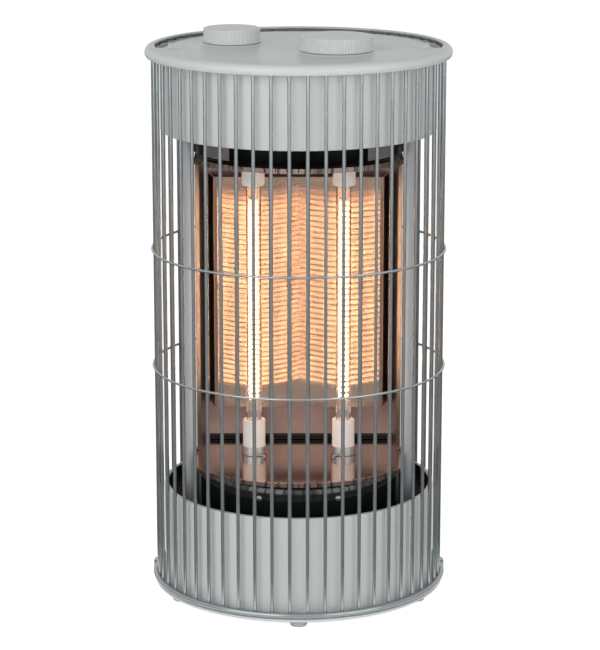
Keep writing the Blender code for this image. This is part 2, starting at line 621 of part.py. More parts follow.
def make_cage(wire_mat, ring_mat, clip_mat):
    bm = bmesh.new()
    for k in range(WIRE_COUNT):
        angle = (k + 0.5) * WIRE_STEP
        spot = (CAGE_RADIUS * math.cos(angle), CAGE_RADIUS * math.sin(angle))
        prism_mesh(bm, circle(WIRE_DIAMETER / 2, 6, spot, angle), BOTTOM_RING_Z, WIRE_TOP)
    cage = add_mesh("cage", bm, wire_mat)
    section = circle(BOTTOM_RING_DIAMETER / 2, 6, (BOTTOM_RING_RADIUS, BOTTOM_RING_Z))
    boolean(cage, turned("bottom_ring", section, None, WIRE_COUNT, phase=WIRE_STEP / 2), "UNION")

    rings = (
        ("cage_lower_band", LOWER_BAND_HEIGHT),
        ("cage_upper_band", UPPER_BAND_HEIGHT),
        ("cage_top_ring", WIRE_TOP - TOP_RING_DROP),
    )
    for name, height in rings:
        section = circle(BAND_DIAMETER / 2, 4, (BAND_RADIUS, height))
        turned(name, section, ring_mat, WIRE_COUNT, phase=WIRE_STEP / 2)

    ring_half = BOTTOM_RING_DIAMETER / 2
    inner = BOTTOM_RING_RADIUS - ring_half - FIT
    outer = BOTTOM_RING_RADIUS + ring_half + FIT
    over = BOTTOM_RING_Z + ring_half + FIT
    section = [
        (DRUM_RADIUS + FIT, BASE_TOP + FIT), (inner, BASE_TOP + FIT), (inner, over), (outer, over),
        (outer, BASE_BOTTOM), (outer + SHEET, BASE_BOTTOM), (outer + SHEET, over + SHEET * 0.4),
        (outer + SHEET * 0.4, over + SHEET), (inner - SHEET, over + SHEET),
        (inner - SHEET, BASE_TOP + FIT + SHEET), (DRUM_RADIUS + FIT, BASE_TOP + FIT + SHEET),
    ]
    turn = CLIP_GAP_INDEX * WIRE_STEP - math.pi / 2
    for name, angle in (("cage_clip_left", math.pi - turn), ("cage_clip_right", turn)):
        bm = bmesh.new()
        made = prism_mesh(bm, section, -CLIP_WIDTH / 2, CLIP_WIDTH / 2)
        stand_up = Matrix.Rotation(math.pi / 2, 4, "X")
        bmesh.ops.transform(bm, matrix=Matrix.Rotation(angle, 4, "Z") @ stand_up, verts=made)
        add_mesh(name, bm, clip_mat, smooth=False)


def lid_profile():
    inner = LID_INNER_RADIUS
    top = [
        (0.0, LID_TOP), (inner, LID_TOP), (inner + 0.3, LID_TOP + 1.7), (inner + 2.6, RIM_TOP - 0.2),
        (inner + 6.2, RIM_TOP), (RIM_RADIUS - 1.4, RIM_WAIST + 4.0), (RIM_RADIUS, RIM_WAIST),
        (RIM_RADIUS - 1.6, RIM_BOTTOM),
    ]
    wall = inner + SHEET
    under = [
        (RIM_RADIUS - 3.1, RIM_BOTTOM + 0.5), (RIM_RADIUS - SHEET, RIM_WAIST),
        (RIM_RADIUS - 2.7, RIM_WAIST + 3.1), (inner + 6.2, RIM_TOP - SHEET), (wall + 2.2, RIM_TOP - SHEET),
        (wall, LID_TOP + 0.6), (wall, LID_BOTTOM), (0.0, LID_BOTTOM),
    ]
    return top + under


def hump_mesh(bm, side):
    """A pivot hump: upright outer end, faded out towards the middle of the lid."""
    sunk = LID_TOP - SHEET / 2
    top = LID_TOP + HUMP_HEIGHT
    half = HUMP_HALF_LENGTH
    shoulder = half - 2.5
    end = [(-half, sunk), (half, sunk), (half, top - 2.0), (shoulder, top), (-shoulder, top), (-half, top - 2.0)]
    verts = []
    for x, squeeze, low in ((HUMP_OUTER_X, 1.0, 1.0), (HUMP_INNER_X, 0.7, 0.06)):
        for y, z in end:
            height = sunk if z == sunk else LID_TOP + (z - LID_TOP) * low
            verts.append(bm.verts.new((side * x * MM, (HANDLE_PIVOT_Y + y * squeeze) * MM, height * MM)))
    outer, inner = verts[:6], verts[6:]
    bm.faces.new(outer)
    bm.faces.new(inner[::-1])
    for k in range(6):
        j = (k + 1) % 6
        bm.faces.new((outer[k], inner[k], inner[j], outer[j]))


def make_lid(mat):
    lid = turned("lid", lid_profile(), mat)

    bosses = bmesh.new()
    for spot, radius in ((POWER_KNOB_AT, POWER_KNOB_RADIUS), (TIMER_KNOB_AT, TIMER_KNOB_RADIUS)):
        wide = radius + BOSS_MARGIN
        raised = [
            (0.0, BOSS_TOP), (wide - 2 * BOSS_HEIGHT, BOSS_TOP), (wide, LID_TOP - SHEET / 3),
            (0.0, LID_TOP - SHEET / 3),
        ]
        turned_mesh(bosses, raised, 28, (*spot, 0.0))
    for side in (-1, 1):
        hump_mesh(bosses, side)
    boolean(lid, add_mesh("lid_raised", bosses, None), "UNION")

    end = math.asin(SLOT_END_Y / SLOT_OUTER_RADIUS)
    slot = arc(SLOT_OUTER_RADIUS, end, math.pi - end, 30)
    slot += arc(SLOT_INNER_RADIUS, math.pi - end, end, 30)
    low, high = LID_BOTTOM - 5.0, RIM_TOP + 5.0
    boolean(lid, prism("lid_slot", slot, low, high, None))
    notch = box_outline(
        -NOTCH_HALF_WIDTH, NOTCH_HALF_WIDTH, SLOT_INNER_RADIUS - NOTCH_DEPTH, SLOT_INNER_RADIUS + 2.0,
    )
    boolean(lid, prism("lid_notch", notch, low, high, None))
    boolean(lid, holes("lid_shaft_holes", (POWER_KNOB_AT, TIMER_KNOB_AT), SHAFT_RADIUS + RUNNING, low, high))

    bores = bmesh.new()
    for side in (-1, 1):
        tilt = Matrix.Rotation(side * math.pi / 2, 4, "Y")
        radius = BUSH_RADIUS + FIT
        length = HUMP_OUTER_X - BUSH_INNER_X + 4.0
        profile = [(0.0, 0.0), (radius, 0.0), (radius, length), (0.0, length)]
        at = (side * (BUSH_INNER_X - FIT), HANDLE_PIVOT_Y, HANDLE_Z)
        turned_mesh(bores, profile, 16, at, tilt=tilt)
    boolean(lid, add_mesh("lid_bush_bores", bores, None))
    return lid


def make_handle(mat, bush_mat, channel_mat):
    inner, outer = CHANNEL_INNER_RADIUS, CHANNEL_OUTER_RADIUS
    profile = [
        (outer, CHANNEL_BOTTOM), (outer, CHANNEL_TOP), (outer - SHEET, CHANNEL_TOP),
        (outer - SHEET, CHANNEL_BOTTOM + SHEET), (inner + SHEET, CHANNEL_BOTTOM + SHEET),
        (inner + SHEET, CHANNEL_TOP), (inner, CHANNEL_TOP), (inner, CHANNEL_BOTTOM),
    ]
    channel = turned("handle_channel", profile, channel_mat)
    gaps = bmesh.new()
    room = BUSH_RADIUS + RUNNING
    floor = CHANNEL_BOTTOM + SHEET
    for side in (-1, 1):
        x0, x1 = sorted((side * (inner - 5.0), side * (inner + SHEET + 3.0)))
        outline = box_outline(x0, x1, HANDLE_PIVOT_Y - room, HANDLE_PIVOT_Y + room)
        prism_mesh(gaps, outline, floor, CHANNEL_TOP + 2.0)
    outline = box_outline(-NOTCH_HALF_WIDTH, NOTCH_HALF_WIDTH, inner - 5.0, inner + SHEET + 1.5)
    prism_mesh(gaps, outline, floor, CHANNEL_TOP + 2.0)
    boolean(channel, add_mesh("channel_gaps", gaps, None))

    start = math.asin((HANDLE_PIVOT_Y + HANDLE_BEND) / HANDLE_RADIUS)
    points = []
    leg_x = HANDLE_RADIUS * math.cos(start)
    points.append((BUSH_INNER_X + FIT, HANDLE_PIVOT_Y))
    points.append((leg_x - HANDLE_BEND, HANDLE_PIVOT_Y))
    for k in (1, 2):
        angle = math.pi / 2 * k / 3
        across = leg_x - HANDLE_BEND + HANDLE_BEND * math.sin(angle)
        points.append((across, HANDLE_PIVOT_Y + HANDLE_BEND * (1 - math.cos(angle))))
    half = points + arc(HANDLE_RADIUS, start, math.pi / 2, 13)
    whole = half + [(-x, y) for x, y in half[-2::-1]]
    handle = tube(
        "carry_handle", [(x, y - HANDLE_PIVOT_Y, 0.0) for x, y in whole], HANDLE_DIAMETER, mat,
    )
    handle.location = (0.0, HANDLE_PIVOT_Y * MM, HANDLE_Z * MM)

    bore = HANDLE_DIAMETER / 2 + FIT
    ring = [(BUSH_RADIUS, 0.0), (BUSH_RADIUS, BUSH_LENGTH), (bore, BUSH_LENGTH), (bore, 0.0)]
    for side, word in ((-1, "left"), (1, "right")):
        tilt = Matrix.Rotation(side * math.pi / 2, 4, "Y")
        at = (side * BUSH_INNER_X, HANDLE_PIVOT_Y, HANDLE_Z)
        turned("handle_bush_" + word, ring, bush_mat, 16, at, tilt=tilt)


def make_controls(knob_mat, steel, plastic):
    rows = (
        ("power", POWER_KNOB_AT, POWER_KNOB_RADIUS, "rotary_switch", SWITCH_RADIUS),
        ("timer", TIMER_KNOB_AT, TIMER_KNOB_RADIUS, "timer_module", TIMER_RADIUS),
    )
    bore = SHAFT_RADIUS + FIT
    for word, spot, radius, module, module_radius in rows:
        at = (*spot, 0.0)
        crown = SHAFT_TOP + FIT
        profile = [
            (0.0, KNOB_TOP), (radius - KNOB_EDGE, KNOB_TOP), (radius, KNOB_TOP - KNOB_EDGE),
            (radius, KNOB_BOTTOM), (bore, KNOB_BOTTOM), (bore, crown), (0.0, crown),
        ]
        knob = turned(word + "_knob", profile, knob_mat, 28, at)
        on_joint(knob, (*spot, KNOB_BOTTOM))
        shaft = prism(word + "_shaft", circle(SHAFT_RADIUS, 12, spot), SHAFT_BOTTOM, SHAFT_TOP, steel)
        on_joint(shaft, (*spot, KNOB_BOTTOM))
        high = LID_BOTTOM - FIT
        seat = SHAFT_BOTTOM - FIT
        low = seat - MODULE_FLOOR
        body = [(0.0, low), (module_radius, low), (module_radius, high), (bore, high), (bore, seat), (0.0, seat)]
        turned(module, body, plastic, 16, at)


def make_wiring(plastic, sleeve_mat, steel, rubber):
    sleeve_top = UPPER_DECK_TOP + SLEEVE_RISE
    prism("wiring_sleeve", circle(SLEEVE_RADIUS, 12, (0.0, SLEEVE_Y)), SLEEVE_BOTTOM, sleeve_top, sleeve_mat)

    wide, deep, tall = BLOCK_SIZE
    left = SLEEVE_RADIUS + FIT
    block = box_outline(left, left + wide, SLEEVE_Y - deep / 2, SLEEVE_Y + deep / 2)
    prism("terminal_block", block, UPPER_DECK_TOP + FIT, UPPER_DECK_TOP + FIT + tall, plastic, smooth=False)

    low = CEILING_TOP + FIT
    can = [
        (0.0, low), (CUTOUT_RADIUS, low), (CUTOUT_RADIUS, low + CUTOUT_HEIGHT * 0.6),
        (CUTOUT_RADIUS * 0.7, low + CUTOUT_HEIGHT), (0.0, low + CUTOUT_HEIGHT),
    ]
    turned("thermal_cutout", can, steel, 16, (*CUTOUT_AT, 0.0))

    wide, deep, tall = TIP_SWITCH_SIZE
    x, y = TIP_SWITCH_AT
    case = box_outline(x - wide / 2, x + wide / 2, y - deep / 2, y + deep / 2)
    prism("tip_over_switch", case, BASE_TOP + FIT, BASE_TOP + FIT + tall, plastic, smooth=False)

    flange = DRUM_RADIUS + FIT
    face = flange + GLAND_FLANGE_THICKNESS
    tip = face + GLAND_NOSE
    inside = DRUM_RADIUS - GLAND_INSIDE
    section = [
        (GLAND_BORE, inside), (GLAND_RADIUS, inside), (GLAND_RADIUS, flange), (GLAND_FLANGE, flange),
        (GLAND_FLANGE, face), (GLAND_NOSE_RADIUS, face), (GLAND_NOSE_RADIUS * 0.8, tip), (GLAND_BORE, tip),
    ]
    turned(
        "cord_gland", section, rubber, 16, (0.0, 0.0, GLAND_HEIGHT),
        tilt=Matrix.Rotation(-math.pi / 2, 4, "X"),
    )

    start = Vector((0.0, inside - FIT, GLAND_HEIGHT))
    stop = Vector((0.0, SLEEVE_Y, SLEEVE_BOTTOM - FIT))
    pull = 40.0
    lead = []
    for k in range(13):
        t = k / 12
        first = start + Vector((0.0, -pull, 0.0))
        last = stop + Vector((0.0, 0.0, -pull * 0.6))
        blend = start * (1 - t) ** 3 + first * 3 * t * (1 - t) ** 2 + last * 3 * t * t * (1 - t) + stop * t ** 3
        lead.append(tuple(blend))
    tube("inlet_lead", lead, LEAD_DIAMETER, sleeve_mat)


def build():
    clear_scene()
    paint = material("light_grey_paint", (0.62, 0.64, 0.64), 0.4)
    black = material("black_enamel", (0.02, 0.02, 0.02), 0.25)
    steel = material("plated_steel", (0.55, 0.56, 0.56), 0.25, 1.0)
    mirror = material("polished_aluminium", (0.8, 0.78, 0.76), 0.12, 1.0)
    plain = material("plain_aluminium", (0.6, 0.5, 0.46), 0.3, 1.0)
    quartz = material("quartz_glass", (0.9, 0.88, 0.85), 0.05)
    element = material("element_wire", (1.0, 0.45, 0.12), 0.5)
    ceramic = material("ceramic", (0.85, 0.78, 0.72), 0.6)
    plastic = material("black_plastic", (0.03, 0.03, 0.03), 0.5)
    rubber = material("grey_rubber", (0.5, 0.51, 0.51), 0.7)
    sleeve = material("glass_fibre_sleeve", (0.75, 0.72, 0.65), 0.8)
    knob = material("light_grey_plastic", (0.62, 0.63, 0.63), 0.45)

    passage = holes(
        "sleeve_passage", [(0.0, SLEEVE_Y)], SLEEVE_RADIUS + FIT, LOWER_DECK_BOTTOM - 5.0, UPPER_DECK_TOP + 5.0,
    )
    element_spots = [(-ELEMENT_X, ELEMENT_Y), (ELEMENT_X, ELEMENT_Y)]
    lead_drill = holes("lead_drill", element_spots, LEAD_HOLE, HOUSING_TOP - 10.0, UPPER_DECK_TOP + 5.0, 8)

    make_feet(rubber)
    make_base(paint)
    make_drums(paint)
    make_decks(black, passage, lead_drill)
    make_posts(paint)
    make_housings(black, steel, passage, lead_drill)
    make_trays(mirror, passage, lead_drill)
    make_walls(plain, mirror, black)
    make_elements(quartz, element, ceramic, steel)
    make_cage(steel, steel, paint)
    make_lid(paint)
    make_handle(steel, plastic, paint)
    make_controls(knob, steel, plastic)
    make_wiring(plastic, sleeve, steel, rubber)


build()
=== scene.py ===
"""Looks of the patio heater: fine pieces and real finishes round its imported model.

The front faces -Y and Z is up. Sizes are in millimetres and become metres where a mesh is made.
"""

import json
import math

import bmesh
import bpy
from mathutils import Matrix, Vector


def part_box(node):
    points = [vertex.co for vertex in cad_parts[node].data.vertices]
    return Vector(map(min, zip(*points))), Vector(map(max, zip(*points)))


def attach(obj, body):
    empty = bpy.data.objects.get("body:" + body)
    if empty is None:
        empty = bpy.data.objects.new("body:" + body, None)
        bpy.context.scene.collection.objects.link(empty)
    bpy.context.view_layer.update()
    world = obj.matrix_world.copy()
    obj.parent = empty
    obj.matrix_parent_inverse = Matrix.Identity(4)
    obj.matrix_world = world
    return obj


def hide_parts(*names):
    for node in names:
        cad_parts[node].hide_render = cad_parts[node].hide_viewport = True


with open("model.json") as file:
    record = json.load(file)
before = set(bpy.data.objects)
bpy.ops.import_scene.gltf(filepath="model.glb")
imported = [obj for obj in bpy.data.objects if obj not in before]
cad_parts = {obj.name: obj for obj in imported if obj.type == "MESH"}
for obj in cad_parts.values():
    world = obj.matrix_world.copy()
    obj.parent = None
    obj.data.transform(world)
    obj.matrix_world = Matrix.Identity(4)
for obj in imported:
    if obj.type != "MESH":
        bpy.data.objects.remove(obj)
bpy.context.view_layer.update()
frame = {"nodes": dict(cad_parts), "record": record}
nodes = frame["nodes"]

MM = 0.001
ROUND = 160                    # facets round the drums and the lid

# Wire cage
CAGE_RADIUS = 150.0
WIRE_COUNT = 52
WIRE_RADIUS = 1.9
WIRE_STEP = 2 * math.pi / WIRE_COUNT
BAND_RADIUS = 153.0            # bands and top ring, sunk a little into their welds
BAND_WIRE = 1.3
BOTTOM_RING_RADIUS = 153.2
BOTTOM_RING_WIRE = 3.0

# Sheet metal
SHEET = 1.0
DRUM_RADIUS = 143.0
HOUSING_RADIUS = 107.5
HOUSING_SHOULDER = 20.0
TRAY_RADIUS = 128.0
TRAY_HALF_WIDTH = 107.0
SLIT_ANGLE = math.radians(5.0) # between the slits in a tray's rim
SLIT_WIDTH = 1.0
PANEL_LIP = 4.0                # front edge of a side panel
REFLECTION_STRIP_START = math.radians(29) # grey sheet strips beside the collar, a painted reflection of its sides, from straight sideways to the front
REFLECTION_STRIP_END = math.radians(50)
BRACKET_LOW = 120.0            # the lower brackets, beside the housing and the floor
BRACKET_HIGH = 149.2

# Lid and handle
LID_INNER = 146.8
PLATE_TOP = 577.0              # height of the lid's flat plate
RIM_RADIUS = 158.4
RIM_WAIST = 574.0              # height of the rim's widest line
RIM_CROWN = 580.3
SLOT_OUTER = 149.0
SLOT_INNER = 136.0
SLOT_END_Y = -2.0
NOTCH_HALF_WIDTH = 12.7
NOTCH_DEPTH = 8.0
CUT_LOW = 560.0                # a cutter's ends, clear below and above the lid
CUT_HIGH = 590.0
BOSS_MARGIN = 4.0
HUMP_OUTER = 134.0             # where a pivot hump starts, out from the middle
HUMP_LENGTH = 22.0
HANDLE_PIVOT_Y = 5.0
HANDLE_WIRE = 2.5
HANDLE_END = 117.3             # inner end of the bail's pivot legs
CHANNEL_INNER = 133.5

# Elements
ELEMENT_X = 47.0
ELEMENT_Y = -20.0
TUBE_OUTER = 7.8               # radii of a quartz tube
TUBE_INNER = 6.6
EAR_REACH = 9.0                # how far a clip's hooked ear stands in front of its band
COIL_RADIUS = 4.65             # to the middle of its wire
COIL_WIRE = 0.58
COIL_BOTTOM = 207.0
COIL_TOP = 424.0
COIL_TURNS = {"left": 41, "right": 37}
COIL_GLOW = 22.0               # strength of the hot wire's own light
GLOW_ON_MATT = 0.4             # share of it that reaches matt surfaces
FOOT_FADE = 5.0                # over these lengths a coil cools towards its foot and its head
HEAD_FADE = 21.0
STEP_SHARE = 0.18              # share of a turn in which the wire steps up to the next

# Reflector
FLUTE_COUNT = 150
FLUTE_SLOPE = math.radians(34.4) # steepest part of a flute: the two coils' images just meet in the middle
FLUTED_HALF_WIDTH = 86.0
FLANGE_BEND = 2.5


def linear(hex_colour):
    """An sRGB hex colour as the linear values that a shader takes."""
    parts = [int(hex_colour[k:k + 2], 16) / 255 for k in (0, 2, 4)]
    return (*[p / 12.92 if p <= 0.04045 else ((p + 0.055) / 1.055) ** 2.4 for p in parts], 1.0)


def add(finish, kind, inputs=None, **settings):
    """Adds one node: settings are its own, inputs are values or other nodes' outputs."""
    made = finish.node_tree.nodes.new("ShaderNode" + kind)
    for word, value in settings.items():
        setattr(made, word, value)
    for socket, value in (inputs or {}).items():
        if isinstance(value, bpy.types.NodeSocket):
            finish.node_tree.links.new(value, made.inputs[socket])
        else:
            made.inputs[socket].default_value = value
    return made


def start_finish(name, **values):
    """A new material and its shader, with the shader's plain values set."""
    finish = bpy.data.materials.new(name)
    finish.use_nodes = True
    shader = finish.node_tree.nodes["Principled BSDF"]
    for socket, value in values.items():
        shader.inputs[socket.replace("_", " ")].default_value = value
    return finish, shader


def feed(finish, shader, **sources):
    for socket, source in sources.items():
        finish.node_tree.links.new(source, shader.inputs[socket.replace("_", " ")])


def per_metre(size_mm):
    """The pattern scale that gives one feature in each so many millimetres."""
    return 1.0 / (size_mm * MM)


def noise(finish, place, size_mm, detail):
    """Soft random clouds, one in each so many millimetres."""
    made = add(finish, "TexNoise", {"Vector": place, "Scale": per_metre(size_mm), "Detail": detail})
    return made.outputs["Fac"]


def colour_between(finish, share, one, other):
    """A colour that runs from one sRGB hex colour to another as share goes from 0 to 1."""
    ends = {0: share, 6: linear(one), 7: linear(other)}
    return add(finish, "Mix", ends, data_type="RGBA").outputs[2]


def bump(finish, height, strength, depth_mm):
    made = add(finish, "Bump", {"Height": height, "Strength": strength, "Distance": depth_mm * MM})
    return made.outputs["Normal"]


def powder_coated_steel(name, colour, shade):
    """Powder-coated sheet steel, sprayed and baked: a satin skin with faint orange peel and a little dust."""
    finish, shader = start_finish(name, Specular_IOR_Level=0.45, Coat_Weight=0.12, Coat_Roughness=0.25)
    place = add(finish, "TexCoord").outputs["Object"]
    cloud = noise(finish, place, 45, 3.0)
    tone = colour_between(finish, cloud, colour, shade)
    peel = noise(finish, place, 1.6, 2.0)
    skin = bump(finish, peel, 0.12, 0.15)
    gloss = add(finish, "MapRange", {"Value": cloud, "To Min": 0.38, "To Max": 0.5}).outputs["Result"]
    feed(finish, shader, Base_Color=tone, Roughness=gloss, Normal=skin)
    return finish


def plated_steel_wire(name, colour, roughness):
    """Drawn steel wire, nickel plated: bright, with drawing marks along it and a soft haze."""
    finish, shader = start_finish(name, Metallic=0.7, Anisotropic=0.3)
    place = add(finish, "TexCoord").outputs["Object"]
    along = add(finish, "Mapping", {"Vector": place, "Scale": (1.0, 1.0, 0.06)}).outputs["Vector"]
    marks = noise(finish, along, 0.7, 3.0)
    haze = noise(finish, place, 18, 2.0)
    tone = colour_between(finish, haze, colour, "989D9F")
    gloss = add(finish, "MapRange", {"Value": marks, "To Min": roughness - 0.05, "To Max": roughness + 0.08})
    grain = bump(finish, marks, 0.1, 0.05)
    feed(finish, shader, Base_Color=tone, Roughness=gloss.outputs["Result"], Normal=grain)
    return finish


def stove_enamel(name, colour, roughness, shine):
    """Black stove enamel, sprayed and fired: deep gloss that mirrors what stands round it, slightly wavy."""
    finish, shader = start_finish(name, Specular_IOR_Level=shine, Coat_Weight=shine / 3, Coat_Roughness=0.04)
    place = add(finish, "TexCoord").outputs["Object"]
    wave = noise(finish, place, 9, 1.0)
    dust = noise(finish, place, 0.9, 4.0)
    grey = add(finish, "MapRange", {"Value": dust, "From Min": 0.62, "From Max": 0.8}).outputs["Result"]
    tone = colour_between(finish, grey, colour, "2B2F31")
    gloss = add(finish, "MapRange", {"Value": dust, "To Min": roughness, "To Max": roughness + 0.1})
    skin = bump(finish, wave, 0.15, 0.3)
    feed(finish, shader, Base_Color=tone, Roughness=gloss.outputs["Result"], Normal=skin)
    return finish


def polished_aluminium(name, colour, tarnish, roughness, grain_depth=0.05):
    """Rolled aluminium sheet, polished: a mirror that the heat has tinted in faint clouds."""
    finish, shader = start_finish(name, Metallic=1.0)
    place = add(finish, "TexCoord").outputs["Object"]
    rolled = add(finish, "Mapping", {"Vector": place, "Scale": (1.0, 1.0, 0.08)}).outputs["Vector"]
    lines = noise(finish, rolled, 1.2, 3.0)
    cloud = noise(finish, place, 30, 2.0)
    tone = colour_between(finish, cloud, colour, tarnish)
    gloss = add(finish, "MapRange", {"Value": lines, "To Min": roughness - 0.03, "To Max": roughness + 0.04})
    grain = bump(finish, lines, grain_depth, 0.05)
    feed(finish, shader, Base_Color=tone, Roughness=gloss.outputs["Result"], Normal=grain)
    return finish


def fused_quartz(name):
    """Drawn fused quartz tube: water clear, with faint drawing lines. Lamps shine through it."""
    finish, shader = start_finish(name, IOR=1.458, Transmission_Weight=1.0)
    place = add(finish, "TexCoord").outputs["Object"]
    drawn = add(finish, "Mapping", {"Vector": place, "Scale": (1.0, 1.0, 0.03)}).outputs["Vector"]
    lines = noise(finish, drawn, 1.5, 1.0)
    gloss = add(finish, "MapRange", {"Value": lines, "To Min": 0.0, "To Max": 0.03}).outputs["Result"]
    skin = bump(finish, lines, 0.05, 0.05)
    tone = colour_between(finish, lines, "FFFFFF", "F4EFEA")
    feed(finish, shader, Base_Color=tone, Roughness=gloss, Normal=skin)
    rays = add(finish, "LightPath").outputs
    lamp = add(finish, "Math", {0: rays["Is Shadow Ray"], 1: rays["Is Diffuse Ray"]}, operation="MAXIMUM")
    clear = add(finish, "BsdfTransparent")
    both = add(finish, "MixShader", {0: lamp.outputs[0], 1: shader.outputs[0], 2: clear.outputs[0]})
    finish.node_tree.links.new(both.outputs[0], finish.node_tree.nodes["Material Output"].inputs["Surface"])
    return finish


def glowing_wire(name, low, high, glow):
    """Iron alloy resistance wire, drawn and wound, red hot: it dazzles and cools at its two ends.

    Matt surfaces take less of its light than mirrors do, so that they keep their own colour beside it.
    """
    finish, shader = start_finish(name, Metallic=0.4, Roughness=0.6, Emission_Color=linear("FFC592"))
    place = add(finish, "TexCoord").outputs["Object"]
    height = add(finish, "SeparateXYZ", {"Vector": place}).outputs["Z"]
    foot, head = (low + FOOT_FADE) * MM, (high - HEAD_FADE) * MM
    start = add(finish, "MapRange", {"Value": height, "From Min": low * MM, "From Max": foot})
    end = add(finish, "MapRange", {"Value": height, "From Min": high * MM, "From Max": head})
    heat = add(finish, "Math", {0: start.outputs["Result"], 1: end.outputs["Result"]}, operation="MULTIPLY")
    scale = noise(finish, place, 2.5, 2.0)
    uneven = add(finish, "MapRange", {"Value": scale, "To Min": 0.75, "To Max": 1.2}).outputs["Result"]
    warm = add(finish, "Math", {0: heat.outputs[0], 1: uneven}, operation="MULTIPLY")
    nearby = add(finish, "LightPath").outputs["Is Diffuse Ray"]
    dimmed = add(finish, "MapRange", {"Value": nearby, "To Min": glow, "To Max": glow * GLOW_ON_MATT})
    power = add(finish, "Math", {0: warm.outputs[0], 1: dimmed.outputs["Result"]}, operation="MULTIPLY")
    tone = colour_between(finish, scale, "5A4A44", "3A3030")
    feed(finish, shader, Base_Color=tone, Emission_Strength=power.outputs[0])
    return finish


def fired_ceramic(name, colour, shade):
    """Steatite ceramic, pressed and fired unglazed: chalky, finely pitted, a little uneven in colour."""
    finish, shader = start_finish(name, Roughness=0.62, Specular_IOR_Level=0.4)
    place = add(finish, "TexCoord").outputs["Object"]
    cloud = noise(finish, place, 7, 3.0)
    pits = noise(finish, place, 0.8, 3.0)
    tone = colour_between(finish, cloud, colour, shade)
    skin = bump(finish, pits, 0.25, 0.2)
    feed(finish, shader, Base_Color=tone, Normal=skin)
    return finish


def moulded_plastic(name, colour, shade, roughness):
    """Injection-moulded plastic with a spark-eroded texture: an even colour that breaks the light softly."""
    finish, shader = start_finish(name, Specular_IOR_Level=0.45)
    place = add(finish, "TexCoord").outputs["Object"]
    cloud = noise(finish, place, 25, 2.0)
    spark = noise(finish, place, 0.9, 2.0)
    tone = colour_between(finish, cloud, colour, shade)
    gloss = add(finish, "MapRange", {"Value": spark, "To Min": roughness - 0.04, "To Max": roughness + 0.06})
    skin = bump(finish, spark, 0.15, 0.1)
    feed(finish, shader, Base_Color=tone, Roughness=gloss.outputs["Result"], Normal=skin)
    return finish


def woven_sleeve(name, colour, shade):
    """Braided glass-fibre sleeve: fine crossing strands, drawn 1.5 mm wide so that they show; between the
    strands the colour darkens, a painted shade in the braid's gaps.
    """
    finish, shader = start_finish(name, Roughness=0.85, Sheen_Weight=0.2)
    place = add(finish, "TexCoord").outputs["Object"]
    turn = math.radians(45)
    one = add(finish, "Mapping", {"Vector": place, "Rotation": (0.0, turn, 0.0)}).outputs["Vector"]
    two = add(finish, "Mapping", {"Vector": place, "Rotation": (0.0, -turn, 0.0)}).outputs["Vector"]
    over = add(finish, "TexWave", {"Vector": one, "Scale": per_metre(1.5) / 20}).outputs["Fac"]
    under = add(finish, "TexWave", {"Vector": two, "Scale": per_metre(1.5) / 20}).outputs["Fac"]
    braid_relief_and_gap_shade = add(finish, "Math", {0: over, 1: under}, operation="MULTIPLY").outputs[0]
    # Darker colour between the strands: painted shade in the gaps, while the bump gives the braid's real
    # relief.
    tone = colour_between(finish, braid_relief_and_gap_shade, shade, colour)
    skin = bump(finish, braid_relief_and_gap_shade, 0.5, 0.3)
    feed(finish, shader, Base_Color=tone, Normal=skin)
    return finish


GREY_COAT = powder_coated_steel("powder_coated_steel_light_grey", "D3D8D7", "CDD3D2")
# A darker, bluer copy of the light grey paint for the posts: painted shade, with a cool cast that offsets the
# coils' orange light on them.
POST_SHADED_COAT = powder_coated_steel("powder_coated_steel_grey_painted_shade", "B4BBC0", "ABB2B7")
WIRE_PLATE = plated_steel_wire("nickel_plated_drawn_wire", "B2B7B9", 0.2)
# A darker copy of the wire plating for the bottom ring: painted shade for its dark underside.
RING_SHADED_PLATE = plated_steel_wire("nickel_plated_ring_bar_painted_shade", "888D90", 0.16)
BRIGHT_PLATE = plated_steel_wire("nickel_plated_spring_steel", "B4B7B6", 0.28)
BLACK_ENAMEL = stove_enamel("black_stove_enamel", "08090A", 0.12, 0.3)
DOME_ENAMEL = stove_enamel("black_stove_enamel_glossy", "16181A", 0.1, 0.5)
COLLAR_ENAMEL = stove_enamel("black_stove_enamel_soft", "060708", 0.2, 0.08)
MIRROR = polished_aluminium("polished_aluminium_sheet", "CFB8AC", "B89F92", 0.12)
FLUTED_MIRROR = polished_aluminium("polished_fluted_aluminium", "E9D2C2", "D8B8A4", 0.06, 0.0)
MILL_SHEET = polished_aluminium("rolled_aluminium_sheet", "A8A4A4", "918D8D", 0.34)
WALL_SHEET = polished_aluminium("rolled_aluminium_heat_tinted", "AB9893", "957F78", 0.34)
QUARTZ = fused_quartz("drawn_fused_quartz")
CERAMIC = fired_ceramic("fired_steatite_ceramic", "F2EFEC", "E4DFDA")
KNOB_PLASTIC = moulded_plastic("moulded_abs_light_grey", "D9DDDC", "D2D7D6", 0.4)
BLACK_PLASTIC = moulded_plastic("moulded_phenolic_black", "17181A", "101113", 0.45)
FOOT_RUBBER = moulded_plastic("moulded_rubber_grey", "B9BDBC", "AEB3B2", 0.7)
SLEEVE = woven_sleeve("braided_glass_fibre", "D9D2C4", "8F8779")


def finish_piece(obj, body, material, replaces=()):
    """Gives a new piece its material, its body and the CAD nodes that it stands for."""
    obj.data.materials.clear()
    obj.data.materials.append(material)
    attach(obj, body)
    if replaces:
        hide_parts(*replaces)
    return obj


def add_mesh(name, bm, smooth_angle=35):
    bmesh.ops.recalc_face_normals(bm, faces=bm.faces)
    mesh = bpy.data.meshes.new(name)
    bm.to_mesh(mesh)
    bm.free()
    mesh.shade_smooth()
    mesh.set_sharp_from_angle(angle=math.radians(smooth_angle))
    obj = bpy.data.objects.new(name, mesh)
    bpy.context.scene.collection.objects.link(obj)
    return obj


